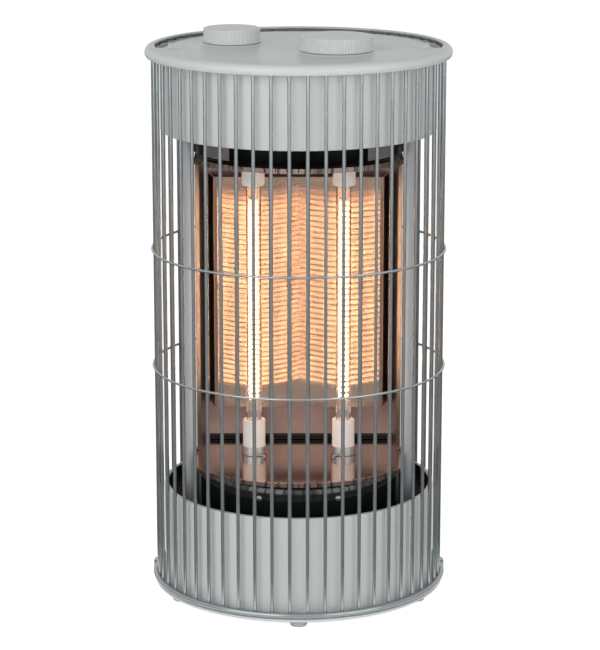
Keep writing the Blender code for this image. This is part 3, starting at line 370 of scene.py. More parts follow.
def eased(corners, steps=4):
    """Rounds the corners of a closed outline; each corner is (across, up, radius)."""
    out = []
    for k, (x, y, radius) in enumerate(corners):
        corner = Vector((x, y))
        if radius == 0:
            out.append((x, y))
            continue
        back = (Vector(corners[k - 1][:2]) - corner).normalized()
        on = (Vector(corners[(k + 1) % len(corners)][:2]) - corner).normalized()
        reach = radius / math.tan(back.angle(on) / 2)
        first, last = corner + back * reach, corner + on * reach
        for step in range(steps + 1):
            t = step / steps
            out.append(tuple(first * (1 - t) ** 2 + corner * 2 * t * (1 - t) + last * t * t))
    return out


def turn_profile(bm, profile, segments, at=(0.0, 0.0, 0.0), tilt=None):
    """Spins (radius, height) points round an axis; a profile that starts on the axis ends on it."""
    on_axis = profile[0][0] == 0.0
    verts = [bm.verts.new((r * MM, 0.0, z * MM)) for r, z in profile]
    pairs = list(zip(verts, verts[1:]))
    if not on_axis:
        pairs.append((verts[-1], verts[0]))
    edges = [bm.edges.new(pair) for pair in pairs]
    before = set(bm.verts) - set(verts)
    bmesh.ops.spin(
        bm, geom=verts + edges, cent=(0, 0, 0), axis=(0, 0, 1),
        angle=2 * math.pi, steps=segments, use_merge=True,
    )
    made = [v for v in bm.verts if v not in before]
    bmesh.ops.remove_doubles(bm, verts=made, dist=1e-6)
    made = [v for v in bm.verts if v.is_valid and v not in before]
    move = Matrix.Translation(Vector(at) * MM)
    if tilt is not None:
        move = move @ tilt
    bmesh.ops.transform(bm, matrix=move, verts=made)


def turned(name, profile, segments=ROUND, at=(0.0, 0.0, 0.0), tilt=None):
    bm = bmesh.new()
    turn_profile(bm, profile, segments, at, tilt)
    return add_mesh(name, bm)


def extrude_outline(bm, outline, low, high):
    verts = [bm.verts.new((x * MM, y * MM, low * MM)) for x, y in outline]
    face = bm.faces.new(verts)
    made = bmesh.ops.extrude_face_region(bm, geom=[face])
    top = [v for v in made["geom"] if isinstance(v, bmesh.types.BMVert)]
    bmesh.ops.translate(bm, verts=top, vec=(0, 0, (high - low) * MM))
    return verts + top


def prism(name, outline, low, high):
    bm = bmesh.new()
    extrude_outline(bm, outline, low, high)
    return add_mesh(name, bm)


def arc(radius, first, last, steps):
    """Points on a circle round the origin, with angles counted from +X."""
    turn = (last - first) / steps
    return [
        (radius * math.cos(first + k * turn), radius * math.sin(first + k * turn))
        for k in range(steps + 1)
    ]


def round_bar(name, runs, radius, closed=False, fineness=3):
    """Round wire along one or more lists of (x, y, z) points."""
    curve = bpy.data.curves.new(name, "CURVE")
    curve.dimensions = "3D"
    curve.bevel_depth = radius * MM
    curve.bevel_resolution = fineness
    curve.use_fill_caps = True
    for points in runs:
        spline = curve.splines.new("POLY")
        spline.points.add(len(points) - 1)
        spline.use_cyclic_u = closed
        for spot, (x, y, z) in zip(spline.points, points):
            spot.co = (x * MM, y * MM, z * MM, 1.0)
    obj = bpy.data.objects.new(name, curve)
    bpy.context.scene.collection.objects.link(obj)
    return obj


def cut(target, cutter):
    """Cuts one piece with another, keeps the result alone and makes the new corners crisp."""
    modifier = target.modifiers.new(cutter.name, "BOOLEAN")
    modifier.operation = "DIFFERENCE"
    modifier.solver = "EXACT"
    modifier.object = cutter
    solved = target.evaluated_get(bpy.context.evaluated_depsgraph_get())
    mesh = bpy.data.meshes.new_from_object(solved)
    target.modifiers.clear()
    target.data = mesh
    mesh.name = target.name
    mesh.set_sharp_from_angle(angle=math.radians(35))
    bpy.data.objects.remove(cutter)


def box_mm(node):
    low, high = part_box(node)
    return low / MM, high / MM


def make_cage():
    low = box_mm("cage")[0].z + BOTTOM_RING_WIRE
    high = box_mm("cage")[1].z
    runs = []
    for k in range(WIRE_COUNT):
        angle = (k + 0.5) * WIRE_STEP
        x, y = CAGE_RADIUS * math.cos(angle), CAGE_RADIUS * math.sin(angle)
        runs.append([(x, y, low), (x, y, (low + high) / 2), (x, y, high)])
    wires = round_bar("cage_wires", runs, WIRE_RADIUS)
    finish_piece(wires, "heater", WIRE_PLATE, ["cage"])
    ring = [(*point, low) for point in arc(BOTTOM_RING_RADIUS, 0, 2 * math.pi, 180)[:-1]]
    # The bottom ring takes the darker copy of the plating: painted shade.
    bar = round_bar("bottom_ring", [ring], BOTTOM_RING_WIRE, closed=True, fineness=4)
    finish_piece(bar, "heater", RING_SHADED_PLATE, ["cage"])
    for node in ("cage_lower_band", "cage_upper_band", "cage_top_ring"):
        bottom, top = box_mm(node)
        height = (bottom.z + top.z) / 2
        ring = [(*point, height) for point in arc(BAND_RADIUS, 0, 2 * math.pi, 180)[:-1]]
        bar = round_bar(node + "_wire", [ring], BAND_WIRE, closed=True)
        finish_piece(bar, "heater", WIRE_PLATE, [node])


def drum_outline(low, high, lip, flange):
    """Section of a rolled drum: a lip turned in at the top and a flange at the bottom, with bent corners."""
    outer, inner = DRUM_RADIUS, DRUM_RADIUS - SHEET
    return eased([
        (outer, low, 1.6), (outer, high, 1.6), (outer - lip, high, 0.3), (outer - lip, high - SHEET, 0.3),
        (inner, high - SHEET, 0.6), (inner, low + SHEET, 0.6), (outer - flange, low + SHEET, 0.3),
        (outer - flange, low, 0.3),
    ])


def make_drums():
    low, high = (corner.z for corner in box_mm("lower_drum"))
    lower = turned("lower_drum_skin", drum_outline(low, high, 4.5, 12.0))
    gland = box_mm("cord_gland")
    height = (gland[0].z + gland[1].z) / 2
    hole = turned(
        "gland_hole", [(0.0, -20.0), (9.0, -20.0), (9.0, 20.0), (0.0, 20.0)], 32,
        (0.0, DRUM_RADIUS, height), Matrix.Rotation(math.pi / 2, 4, "X"),
    )
    cut(lower, hole)
    finish_piece(lower, "heater", GREY_COAT, ["lower_drum"])
    low, high = (corner.z for corner in box_mm("upper_drum"))
    upper = turned("upper_drum_skin", drum_outline(low, high, 4.5, 4.5))
    finish_piece(upper, "heater", GREY_COAT, ["upper_drum"])


def make_base():
    low, high = box_mm("base_plate")
    edge = high.x
    profile = [(0.0, low.z)] + eased([
        (edge, low.z, 1.1), (edge, high.z, 1.1), (0.0, high.z, 0.0), (0.0, low.z, 0.0),
    ])[:-2] + [(0.0, high.z)]
    plate = turned("base_plate_pressing", profile)
    finish_piece(plate, "heater", GREY_COAT, ["base_plate"])
    for node in [n for n in nodes if n.startswith("foot_")]:
        low, high = box_mm(node)
        middle = (low + high) / 2
        wide = (high.x - low.x) / 2
        top = high.z
        profile = [(0.0, 0.0), (wide - 2.2, 0.0), (wide - 1.2, 0.5), (wide - 0.6, 1.8)]
        profile += [(wide - 0.3, top - 1.6), (wide, top - 1.0), (wide, top), (0.0, top)]
        foot = turned(node + "_pad", profile, 40, (middle.x, middle.y, 0.0))
        finish_piece(foot, "heater", FOOT_RUBBER, [node])


def make_housings():
    low, high = (corner.z for corner in box_mm("lower_housing"))
    outer = [(0.0, high)]
    inner = [(0.0, high - SHEET)]
    for step in range(11):
        angle = math.pi / 2 * (1 - step / 10)
        across, up = math.cos(angle), math.sin(angle)
        wide = HOUSING_RADIUS - HOUSING_SHOULDER * (1 - across)
        outer.append((wide, high - HOUSING_SHOULDER * (1 - up)))
        bend = HOUSING_SHOULDER - SHEET
        inner.append((HOUSING_RADIUS - HOUSING_SHOULDER + bend * across, high - HOUSING_SHOULDER + bend * up))
    outer += [(HOUSING_RADIUS, low + 0.4), (HOUSING_RADIUS - 0.4, low)]
    inner.append((HOUSING_RADIUS - SHEET, low))
    dome = turned("lower_housing_dome", outer + inner[::-1], 128)
    finish_piece(dome, "heater", DOME_ENAMEL, ["lower_housing"])
    low, high = (corner.z for corner in box_mm("upper_collar"))
    wall = eased([
        (HOUSING_RADIUS, low, 0.4), (HOUSING_RADIUS, high, 0.4),
        (HOUSING_RADIUS - SHEET, high, 0.3), (HOUSING_RADIUS - SHEET, low, 0.3),
    ])
    collar = turned("upper_collar_band", wall, 128)
    finish_piece(collar, "heater", COLLAR_ENAMEL, ["upper_collar"])
    for word in ("left", "right"):
        node = "housing_screw_" + word
        low, high = box_mm(node)
        middle = (low + high) / 2
        angle = math.atan2(middle.x, -middle.y)
        out = Matrix.Rotation(angle, 4, "Z") @ Matrix.Rotation(math.pi / 2, 4, "X")
        spot = (HOUSING_RADIUS * math.sin(angle), -HOUSING_RADIUS * math.cos(angle), middle.z)
        head = [(0.0, 2.0), (1.2, 1.95), (2.2, 1.6), (2.9, 0.9), (3.2, 0.3), (3.2, -0.4), (0.0, -0.4)]
        screw = turned(node + "_head", head, 32, spot, out)
        wide, slim = 1.7, 0.3
        arm = [(wide, -slim), (wide, slim), (slim, slim)]
        corners = []
        for _ in range(4):
            corners += arm
            arm = [(-y, x) for x, y in arm]
        cross = bmesh.new()
        extrude_outline(cross, corners, 1.1, 3.0)
        bmesh.ops.transform(cross, matrix=Matrix.Translation(Vector(spot) * MM) @ out, verts=cross.verts)
        cut(screw, add_mesh(node + "_recess", cross))
        finish_piece(screw, "heater", BRIGHT_PLATE, [node])


def make_collar_reflection_strips():
    """Grey sheet strips on the collar's sides, a painted reflection of the black collar there, and the
    brackets that join it to the posts.
    """
    low, high = box_mm("upper_collar")
    inner = HOUSING_RADIUS + 0.2
    for side, word in ((-1, "left"), (1, "right")):
        bent = arc(inner, -REFLECTION_STRIP_START, -REFLECTION_STRIP_END, 16) + arc(inner + SHEET, -REFLECTION_STRIP_END, -REFLECTION_STRIP_START, 16)
        # Grey sheet where the black collar's sides show reflections: painted reflection.
        reflection_strip = prism("collar_painted_reflection_strip_" + word, [(side * x, y) for x, y in bent], low.z + 4.0, high.z - 0.3)
        finish_piece(reflection_strip, "heater", MILL_SHEET)
        reach = [(HOUSING_RADIUS - 1.5, 3.0), (HOUSING_RADIUS + 3.5, 3.0), (HOUSING_RADIUS + 3.5, 4.0),
                 (HOUSING_RADIUS - 1.5, 4.0)]
        spans = {"upper": (low.z - 1.5, high.z - 0.3), "lower": (BRACKET_LOW, BRACKET_HIGH)}
        for place, (bottom, top) in spans.items():
            plate = prism(f"post_bracket_{place}_{word}", [(side * x, y) for x, y in reach], bottom, top)
            finish_piece(plate, "heater", BLACK_ENAMEL)


def tray_outline(radius):
    corner = math.acos(TRAY_HALF_WIDTH / radius)
    return arc(radius, corner, math.pi - corner, 60) + arc(radius, math.pi + corner, 2 * math.pi - corner, 60)


def make_trays():
    """Floor and ceiling of the heating chamber: a polished plate and a rim that is slit into tabs."""
    corner = math.acos(TRAY_HALF_WIDTH / TRAY_RADIUS)
    half_slit = SLIT_WIDTH / 2 / TRAY_RADIUS
    for node, side in (("floor_reflector", -1), ("ceiling_reflector", 1)):
        low, high = (point.z for point in box_mm(node))
        plate_low, plate_high = (high - SHEET, high) if side < 0 else (low, low + SHEET)
        rim_low, rim_high = (low, high - 0.6) if side < 0 else (low + 0.6, high)
        bm = bmesh.new()
        extrude_outline(bm, tray_outline(TRAY_RADIUS - 0.5), plate_low, plate_high)
        for start in (corner, math.pi + corner):
            span = math.pi - 2 * corner
            count = int(span / SLIT_ANGLE)
            step = span / count
            for tab in range(count):
                first = start + tab * step + half_slit
                last = start + (tab + 1) * step - half_slit
                outline = arc(TRAY_RADIUS, first, last, 4) + arc(TRAY_RADIUS - SHEET, last, first, 4)
                extrude_outline(bm, outline, rim_low, rim_high)
        tray = add_mesh(node + "_tray", bm)
        finish_piece(tray, "heater", MIRROR, [node])


def make_reflector():
    """The fluted reflector: fine upright flutes that spread each coil turn's image into a level bar."""
    low, high = box_mm("fluted_reflector")
    half = FLUTED_HALF_WIDTH
    width = 2 * half / FLUTE_COUNT
    bend = width / 2 / math.sin(FLUTE_SLOPE)
    depth = bend * (1 - math.cos(FLUTE_SLOPE))
    front = low.y + 0.4
    outline = []
    steps = 8
    for flute in range(FLUTE_COUNT):
        left = flute * width - half
        for step in range(steps):
            slope = FLUTE_SLOPE * (2 * step / steps - 1)
            across = left + width / 2 + bend * math.sin(slope)
            outline.append((across, front + bend * (1 - math.cos(slope))))
    plain = front + depth
    rear = plain + SHEET
    bend = FLANGE_BEND
    outline += eased([
        (half + 1.0, plain, 0), (half + 3.0, plain, bend), (high.x, high.y, 0), (high.x - SHEET, high.y, 0),
        (half + 3.0 - SHEET, rear, bend - SHEET), (SHEET - half - 3.0, rear, bend - SHEET),
        (low.x + SHEET, high.y, 0), (low.x, high.y, 0), (-half - 3.0, plain, bend), (-half - 1.0, plain, 0),
    ], 6)
    bm = bmesh.new()
    extrude_outline(bm, outline, low.z, high.z)
    sheet = add_mesh("fluted_reflector_sheet", bm, 50)
    finish_piece(sheet, "heater", FLUTED_MIRROR, ["fluted_reflector"])


def make_side_panels():
    """Rolled side sheets whose front edge is bent out to the post, where the coil's light catches it."""
    for side, word in ((-1, "left"), (1, "right")):
        low, high = box_mm("side_panel_" + word)
        front, back = low.y, high.y
        out = max(abs(low.x), abs(high.x))
        near = min(abs(low.x), abs(high.x))
        bend = out - PANEL_LIP
        outline = eased([
            (out, front + 0.4, 0), (bend + 0.6, 0.3, 2.2), (near + SHEET, back, 0), (near, back, 0),
            (bend - 0.4, -0.2, 1.6), (out - 0.7, front, 0),
        ], 6)
        panel = prism("side_panel_sheet_" + word, [(side * x, y) for x, y in outline], low.z, high.z)
        finish_piece(panel, "heater", MILL_SHEET, ["side_panel_" + word])


def make_wall_foot():
    """The dark double bead where the back wall meets the floor."""
    low, high = box_mm("back_wall")
    face = low.y
    outline = eased([
        (face, low.z, 0), (face - 2.2, low.z, 1.0), (face - 2.2, low.z + 1.9, 0.9),
        (face - 0.9, low.z + 2.4, 0.4), (face - 1.8, low.z + 3.0, 0.5),
        (face - 1.8, low.z + 5.6, 0.8), (face, low.z + 6.0, 0),
    ], 4)
    bm = bmesh.new()
    made = extrude_outline(bm, outline, low.x + 1.0, high.x - 1.0)
    lay = Matrix(((0, 0, 1, 0), (1, 0, 0, 0), (0, 1, 0, 0), (0, 0, 0, 1)))
    bmesh.ops.transform(bm, matrix=lay, verts=made)
    bead = add_mesh("back_wall_foot_bead", bm)
    finish_piece(bead, "heater", BLACK_ENAMEL)


def make_drum_shade_liner():
    """A black liner inside the lower drum, above the deck: painted shade on the drum's shadowed inner wall.
    """
    deck = box_mm("lower_deck")[1].z
    top = box_mm("lower_drum")[1].z - SHEET
    outer = DRUM_RADIUS - SHEET
    wall = [(outer, deck + 0.2), (outer, top), (outer - 0.3, top), (outer - 0.3, deck + 0.2)]
    # Black sheet where the drum's inside lies in shade: painted shade.
    shade_liner = turned("lower_drum_painted_shade_liner", wall)
    finish_piece(shade_liner, "heater", BLACK_ENAMEL)


def coil_run(x, turns):
    """One element's wire: each turn lies level and steps up at its left side."""
    per_turn = 24
    pitch = (COIL_TOP - COIL_BOTTOM) / turns
    points = []
    for k in range(turns * per_turn + 1):
        part = (k % per_turn) / per_turn
        whole = k // per_turn
        climb = min(max((part - 0.5 + STEP_SHARE / 2) / STEP_SHARE, 0.0), 1.0)
        angle = 2 * math.pi * part
        height = COIL_BOTTOM + pitch * (whole + climb)
        points.append((x + COIL_RADIUS * math.cos(angle), ELEMENT_Y + COIL_RADIUS * math.sin(angle), height))
    return points


def make_elements():
    for side, word in ((-1, "left"), (1, "right")):
        x = side * ELEMENT_X
        tube_low, tube_high = (corner.z for corner in box_mm("quartz_tube_" + word))
        wall = eased([
            (TUBE_OUTER, tube_low, 0.3), (TUBE_OUTER, tube_high, 0.3),
            (TUBE_INNER, tube_high, 0.3), (TUBE_INNER, tube_low, 0.3),
        ])
        tube = turned("quartz_tube_glass_" + word, wall, 48, (x, ELEMENT_Y, 0.0))
        finish_piece(tube, "heater", QUARTZ, ["quartz_tube_" + word])

        run = coil_run(x, COIL_TURNS[word])
        coil = round_bar("heating_coil_wire_" + word, [run], COIL_WIRE, fineness=1)
        glow = glowing_wire("glowing_resistance_wire_" + word, COIL_BOTTOM, COIL_TOP, COIL_GLOW)
        finish_piece(coil, "heater", glow, ["heating_coil_" + word])
        right = x + COIL_RADIUS
        tails = [
            [(right, ELEMENT_Y, tube_low + 0.5), (right, ELEMENT_Y, COIL_BOTTOM)],
            [(right, ELEMENT_Y, COIL_TOP), (right, ELEMENT_Y, tube_high - 0.5)],
        ]
        leads = round_bar("coil_tails_" + word, tails, 0.8)
        finish_piece(leads, "heater", BRIGHT_PLATE)

        for place in ("lower", "upper"):
            node = f"{place}_ceramic_{word}"
            low, high = box_mm(node)
            wide = (high.x - low.x) / 2
            bore = 8.1
            up = 1 if place == "lower" else -1
            foot, mouth = (low.z, high.z) if place == "lower" else (high.z, low.z)
            socket = mouth - up * 8.0
            profile = [(0.0, foot), (wide - 0.5, foot), (wide, foot + up * 0.5), (wide, mouth - up * 1.2)]
            profile += [(wide - 0.35, mouth - up * 0.35), (wide - 1.2, mouth), (bore + 0.5, mouth)]
            profile += [(bore, mouth - up * 0.5), (bore, socket), (0.0, socket)]
            holder = turned(node + "_holder", profile, 48, (x, ELEMENT_Y, 0.0))
            finish_piece(holder, "heater", CERAMIC, [node])


def make_ceramic_clips():
    """Spring clips round the lower ceramics: a split band with two small hooked ears at the front."""
    for side, word in ((-1, "left"), (1, "right")):
        low, high = box_mm("ceramic_clip_" + word)
        x = side * ELEMENT_X
        outer = (high.x - low.x) / 2
        inner = outer - 0.9
        tall = high.z - low.z
        bead = low.z + tall * 0.55
        wall = eased([
            (outer - 0.1, low.z, 0.2), (outer - 0.1, bead - 1.0, 0.3), (outer, bead, 0.4),
            (outer - 0.1, bead + 1.0, 0.3), (outer - 0.1, high.z, 0.2),
            (inner, high.z, 0.2), (inner, low.z, 0.2),
        ])
        band = turned("ceramic_clip_band_" + word, wall, 48, (x, ELEMENT_Y, 0.0))
        finish_piece(band, "heater", BRIGHT_PLATE, ["ceramic_clip_" + word])
        ear = []
        for step in range(9):
            turn = math.pi * 1.3 * step / 8
            ear.append((x - side * (9.0 + 2.4 * math.sin(turn)), ELEMENT_Y - outer - EAR_REACH,
                        low.z + 2.4 - 1.8 * math.cos(turn)))
        start = (x - side * 8.0, ELEMENT_Y - outer + 3.0, low.z + 0.8)
        hook = round_bar("clip_ear_" + word, [[start] + ear], 0.7)
        finish_piece(hook, "heater", BRIGHT_PLATE)


def lid_section():
    """The pressing's section: from its top's middle, round the rolled rim, to its underside's middle."""
    inner = LID_INNER
    low = box_mm("lid")[0].z
    plate, waist, crown = PLATE_TOP, RIM_WAIST, RIM_CROWN
    outer = [
        (0.0, plate), (inner - 0.8, plate), (inner - 0.2, plate + 0.15), (inner + 0.2, plate + 0.7),
        (inner + 0.5, plate + 1.7), (inner + 1.3, plate + 2.6), (inner + 2.6, crown - 0.25),
        (inner + 4.4, crown), (inner + 6.2, crown), (inner + 8.2, crown - 0.7), (inner + 9.8, crown - 2.0),
        (inner + 10.9, crown - 3.6), (RIM_RADIUS - 0.15, waist + 1.2), (RIM_RADIUS, waist),
        (RIM_RADIUS - 0.25, waist - 1.6), (RIM_RADIUS - 0.9, low + 1.2), (RIM_RADIUS - 1.7, low + 0.2),
        (RIM_RADIUS - 2.4, low),
    ]
    wall = inner + SHEET
    under = [
        (RIM_RADIUS - 3.0, low + 0.5), (RIM_RADIUS - 2.0, low + 1.6), (RIM_RADIUS - SHEET, waist),
        (RIM_RADIUS - 2.7, waist + 3.1), (inner + 6.2, crown - SHEET), (wall + 2.2, crown - SHEET),
        (wall, plate + 0.6), (wall, plate - SHEET), (0.0, plate - SHEET),
    ]
    return outer + under


def make_lid():
    lid = turned("lid_pressing", lid_section(), 200)
    end = math.asin(SLOT_END_Y / SLOT_OUTER)
    slot = arc(SLOT_OUTER, end, math.pi - end, 110) + arc(SLOT_INNER, math.pi - end, end, 110)
    cut(lid, prism("lid_slot", slot, CUT_LOW, CUT_HIGH))
    back = SLOT_INNER + 2.0
    front = SLOT_INNER - NOTCH_DEPTH
    half = NOTCH_HALF_WIDTH
    notch = eased([(-half, back, 0), (half, back, 0), (half, front, 3.0), (-half, front, 3.0)])
    cut(lid, prism("lid_notch", notch, CUT_LOW, CUT_HIGH))
    finish_piece(lid, "heater", GREY_COAT, ["lid"])
    plate = PLATE_TOP
    for word in ("power", "timer"):
        low, high = box_mm(word + "_knob")
        wide = (high.x - low.x) / 2 + BOSS_MARGIN
        middle = (low + high) / 2
        raised = [
            (0.0, plate + 1.0), (wide - 3.2, plate + 1.0), (wide - 2.4, plate + 0.93),
            (wide - 1.6, plate + 0.7), (wide - 0.8, plate + 0.3), (wide, plate + 0.02),
            (wide, plate - 0.4), (0.0, plate - 0.4),
        ]
        boss = turned("lid_boss_" + word, raised, 96, (middle.x, middle.y, 0.0))
        finish_piece(boss, "heater", GREY_COAT)
    for side, word in ((-1, "left"), (1, "right")):
        bm = bmesh.new()
        rows = []
        for step in range(9):
            along = step / 8
            x = side * (HUMP_OUTER - HUMP_LENGTH * along)
            rise = 4.0 * (1 - along) ** 1.2 + 0.05
            half = 7.0 * (1 - 0.3 * along)
            row = [bm.verts.new((x * MM, (HANDLE_PIVOT_Y - half) * MM, (plate - 0.3) * MM))]
            for k in range(9):
                turn = math.pi * k / 8
                y = HANDLE_PIVOT_Y - half * math.copysign(abs(math.cos(turn)) ** 0.6, math.cos(turn))
                z = plate + rise * math.sin(turn) ** 0.6
                row.append(bm.verts.new((x * MM, y * MM, z * MM)))
            row.append(bm.verts.new((x * MM, (HANDLE_PIVOT_Y + half) * MM, (plate - 0.3) * MM)))
            rows.append(row)
        for one, two in zip(rows, rows[1:]):
            for k in range(len(one)):
                j = (k + 1) % len(one)
                bm.faces.new((one[k], two[k], two[j], one[j]))
        bm.faces.new(rows[0])
        bm.faces.new(rows[-1][::-1])
        hump = add_mesh("lid_hump_" + word, bm, 50)
        finish_piece(hump, "heater", GREY_COAT)


def make_knob(node, body, ribs):
    """A dial knob: fine ribs round its side, a plain crown and a skirt line."""
    low, high = box_mm(node)
    radius = (high.x - low.x) / 2
    middle = (low + high) / 2
    bottom, top = low.z, high.z
    per_rib = 6
    levels = [
        (radius - 0.5, bottom, 0.0), (radius, bottom + 0.4, 0.0), (radius, bottom + 1.4, 0.0),
        (radius - 0.3, bottom + 1.7, 1.0), (radius - 0.3, top - 2.4, 1.0), (radius - 0.25, top - 1.6, 0.6),
        (radius - 0.45, top - 0.9, 0.0), (radius - 0.9, top - 0.35, 0.0), (radius - 1.7, top - 0.05, 0.0),
        (radius - 2.6, top, 0.0), (radius - 5.0, top - 0.1, 0.0),
    ]
    count = ribs * per_rib
    bm = bmesh.new()
    rings = []
    for wide, height, share in levels:
        ring = []
        for k in range(count):
            angle = 2 * math.pi * k / count
            groove = 0.5 + 0.5 * math.cos(ribs * angle)
            reach = wide - 0.75 * share * groove ** 2
            x, y = reach * math.cos(angle), reach * math.sin(angle)
            ring.append(bm.verts.new((x * MM, y * MM, height * MM)))
        rings.append(ring)
    for one, two in zip(rings, rings[1:]):
        for k in range(count):
            j = (k + 1) % count
            bm.faces.new((one[k], one[j], two[j], two[k]))
    bm.faces.new(rings[-1])
    bm.faces.new(rings[0][::-1])
    bmesh.ops.translate(bm, verts=bm.verts, vec=(middle.x * MM, middle.y * MM, 0.0))
    knob = add_mesh(node + "_ribbed", bm, 60)
    finish_piece(knob, body, KNOB_PLASTIC, [node])


def make_handle():
    low, high = box_mm("carry_handle")
    height = (low.z + high.z) / 2
    radius = SLOT_INNER + 4.2
    bend = 6.0
    start = math.asin((HANDLE_PIVOT_Y + bend) / radius)
    leg = radius * math.cos(start)
    half = [(HANDLE_END, HANDLE_PIVOT_Y), (leg - bend, HANDLE_PIVOT_Y)]
    for k in range(1, 9):
        angle = math.pi / 2 * k / 9
        half.append((leg - bend + bend * math.sin(angle), HANDLE_PIVOT_Y + bend * (1 - math.cos(angle))))
    half += arc(radius, start, math.pi / 2, 60)
    whole = half + [(-x, y) for x, y in half[-2::-1]]
    bail = round_bar("bail_handle_wire", [[(x, y, height) for x, y in whole]], HANDLE_WIRE, fineness=4)
    finish_piece(bail, "handle", BRIGHT_PLATE, ["carry_handle"])

    low, high = box_mm("handle_channel")
    outer, inner = high.x, CHANNEL_INNER
    floor, top = low.z, high.z
    section = eased([
        (outer, floor, 0.8), (outer, top, 0.2),
        (outer - SHEET, top, 0.2), (outer - SHEET, floor + SHEET, 0.4),
        (inner + SHEET, floor + SHEET, 0.4), (inner + SHEET, top, 0.2),
        (inner, top, 0.2), (inner, floor, 0.8),
    ], 3)
    channel = turned("handle_channel_trough", section)
    gaps = bmesh.new()
    for side in (-1, 1):
        x0, x1 = sorted((side * (inner - 5.0), side * (inner + 4.0)))
        y0, y1 = HANDLE_PIVOT_Y - 4.7, HANDLE_PIVOT_Y + 4.7
        extrude_outline(gaps, [(x0, y0), (x1, y0), (x1, y1), (x0, y1)], floor + SHEET, top + 2.0)
    half = NOTCH_HALF_WIDTH
    y0, y1 = inner - 5.0, inner + 2.5
    extrude_outline(gaps, [(-half, y0), (half, y0), (half, y1), (-half, y1)], floor + SHEET, top + 2.0)
    cut(channel, add_mesh("channel_gaps", gaps))
    finish_piece(channel, "heater", GREY_COAT, ["handle_channel"])


def make_gland():
    low, high = box_mm("cord_gland")
    height = (low.z + high.z) / 2
    face = DRUM_RADIUS + 0.3
    profile = [(3.3, low.y), (8.7, low.y), (8.7, face - 0.2), (10.2, face), (10.5, face + 0.4)]
    profile += [(10.5, face + 1.6), (10.0, face + 2.2), (6.4, face + 2.2)]
    along = face + 2.2
    while along < high.y - 2.0:
        share = (along - face - 2.2) / (high.y - face - 2.2)
        wide = 6.0 - 1.1 * share
        profile += [(wide, along + 0.1), (wide, along + 1.1)]
        profile += [(wide - 0.8, along + 1.3), (wide - 0.8, along + 1.8)]
        along += 1.9
    profile += [(4.9, high.y - 0.6), (4.6, high.y), (3.3, high.y)]
    lay = Matrix.Rotation(-math.pi / 2, 4, "X")
    gland = turned("cord_gland_grommet", profile, 48, (0.0, 0.0, height), lay)
    finish_piece(gland, "heater", FOOT_RUBBER, ["cord_gland"])


def finish_kept_nodes():
    """CAD pieces whose own shape is right get their real finish."""
    finishes = {
        "light_grey_paint": GREY_COAT,
        "black_enamel": BLACK_ENAMEL,
        "plated_steel": BRIGHT_PLATE,
        "polished_aluminium": MIRROR,
        "plain_aluminium": MILL_SHEET,
        "black_plastic": BLACK_PLASTIC,
        "grey_rubber": FOOT_RUBBER,
        "glass_fibre_sleeve": SLEEVE,
        "light_grey_plastic": KNOB_PLASTIC,
        "quartz_glass": QUARTZ,
        "ceramic": CERAMIC,
    }
    # The posts take the darker, bluer copy of the grey paint: painted shade.
    own = {"post_left": POST_SHADED_COAT, "post_right": POST_SHADED_COAT, "back_wall": WALL_SHEET}
    slots = {row["node"]: row["material_slot"] for row in frame["record"]["subparts"]}
    for name, node in nodes.items():
        if node.hide_render:
            continue
        node.data.materials.clear()
        node.data.materials.append(own.get(name, finishes[slots[name]]))


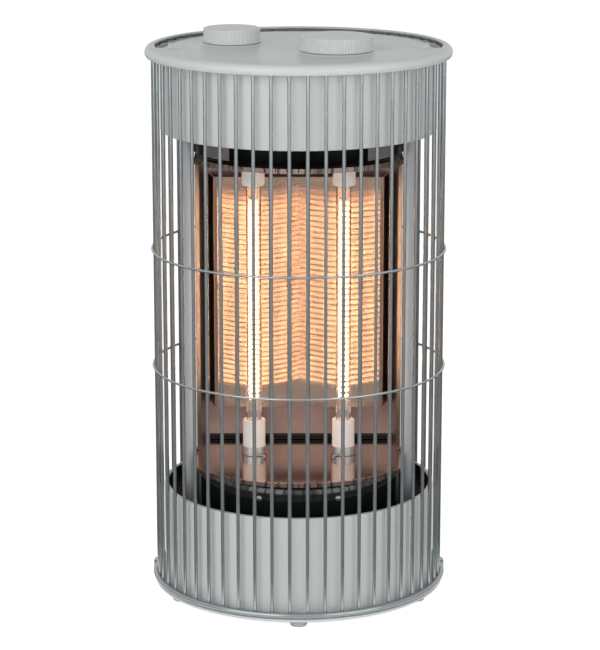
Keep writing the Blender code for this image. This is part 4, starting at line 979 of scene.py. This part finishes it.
def make_studio():
    """A pale floor, a soft white room, two large lamps in front and a weak low one.

    Only reflections see the dark ring on the floor: it gives polished pieces something dark to mirror.
    """
    bpy.ops.mesh.primitive_circle_add(vertices=96, radius=9.0, fill_type="NGON", location=(0, 0, -0.0002))
    floor = bpy.context.object
    floor.name = "studio_floor"
    finish, shader = start_finish("matt_white_floor", Roughness=0.9, Specular_IOR_Level=0.1)
    place = add(finish, "TexCoord").outputs["Object"]
    cloud = add(finish, "TexNoise", {"Vector": place, "Scale": per_metre(60)}).outputs["Fac"]
    tone = colour_between(finish, cloud, "FCFCFC", "F8F8F8")
    rays = add(finish, "LightPath").outputs
    seen = add(finish, "Math", {0: rays["Is Camera Ray"], 1: rays["Is Glossy Ray"]}, operation="MAXIMUM")
    through = add(finish, "Math", {0: seen.outputs[0], 1: rays["Is Transmission Ray"]}, operation="MAXIMUM")
    lift = add(finish, "Math", {0: through.outputs[0], 1: 0.75}, operation="MULTIPLY")
    feed(finish, shader, Base_Color=tone, Emission_Strength=lift.outputs[0])
    shader.inputs["Emission Color"].default_value = linear("FFFFFF")
    floor.data.materials.append(finish)

    ring = turned("studio_dark_ring", [(230.0, 0.5), (6000.0, 0.5), (6000.0, 1.0), (230.0, 1.0)], 96)
    ring.visible_camera = False
    ring.visible_diffuse = False
    ring.visible_transmission = False
    ring.visible_shadow = False
    finish, shader = start_finish("matt_dark_card", Base_Color=(0.0, 0.0, 0.0, 1.0), Specular_IOR_Level=0.0)
    place = add(finish, "TexCoord").outputs["Object"]
    along = add(finish, "SeparateXYZ", {"Vector": place}).outputs["Y"]
    fade = {"From Min": -0.7, "From Max": 0.0, "To Min": 0.24, "To Max": 0.06}
    level = add(finish, "MapRange", {"Value": along, **fade})
    feed(finish, shader, Emission_Strength=level.outputs["Result"])
    shader.inputs["Emission Color"].default_value = linear("FFFFFF")
    ring.data.materials.append(finish)

    world = bpy.data.worlds.new("white_room")
    bpy.context.scene.world = world
    world.use_nodes = True
    sky = world.node_tree.nodes["Background"]
    rays = add(world, "LightPath").outputs
    seen = add(world, "Math", {0: rays["Is Camera Ray"], 1: rays["Is Glossy Ray"]}, operation="MAXIMUM")
    through = add(world, "Math", {0: seen.outputs[0], 1: rays["Is Transmission Ray"]}, operation="MAXIMUM")
    level = add(world, "MapRange", {"Value": through.outputs[0], "To Min": 0.31, "To Max": 1.0})
    world.node_tree.links.new(level.outputs["Result"], sky.inputs["Strength"])
    sky.inputs["Color"].default_value = (1.0, 1.0, 1.0, 1.0)

    for name, spot, size, power in (
        ("front_left_lamp", (-1.9, -2.6, 1.15), 2.6, 54.0),
        ("front_right_lamp", (2.1, -2.3, 0.8), 2.4, 42.0),
        ("front_low_lamp", (-0.3, -2.6, 0.1), 1.8, 6.0),
    ):
        lamp = bpy.data.lights.new(name, "AREA")
        lamp.shape = "RECTANGLE"
        lamp.size = size
        lamp.size_y = size * 1.2
        lamp.energy = power
        holder = bpy.data.objects.new(name, lamp)
        holder.location = spot
        aim = Vector((0, 0, 0.3)) - Vector(spot)
        holder.rotation_euler = aim.to_track_quat("-Z", "Y").to_euler()
        bpy.context.scene.collection.objects.link(holder)


def make_camera():
    """The photograph's viewpoint, fitted to the cage, the bands, the rim and the bottom ring."""
    lens = bpy.data.cameras.new("photograph_view")
    lens.sensor_width = 36.0
    lens.lens = 143.22
    lens.clip_start, lens.clip_end = 0.05, 60.0
    camera = bpy.data.objects.new("photograph_view", lens)
    camera.location = (0.0014, -2.6493, 0.9223)
    camera.rotation_euler = (math.pi / 2 - 0.2365, 0.0, 0.0)
    bpy.context.scene.collection.objects.link(camera)
    bpy.context.scene.camera = camera


make_cage()
make_drums()
make_base()
make_housings()
make_collar_reflection_strips()
make_trays()
make_reflector()
make_side_panels()
make_wall_foot()
make_drum_shade_liner()
make_elements()
make_ceramic_clips()
make_lid()
make_knob("power_knob", "power_dial", 60)
make_knob("timer_knob", "timer_dial", 76)
make_handle()
make_gland()
finish_kept_nodes()
make_studio()
make_camera()
bpy.context.scene.view_settings.view_transform = "Standard"
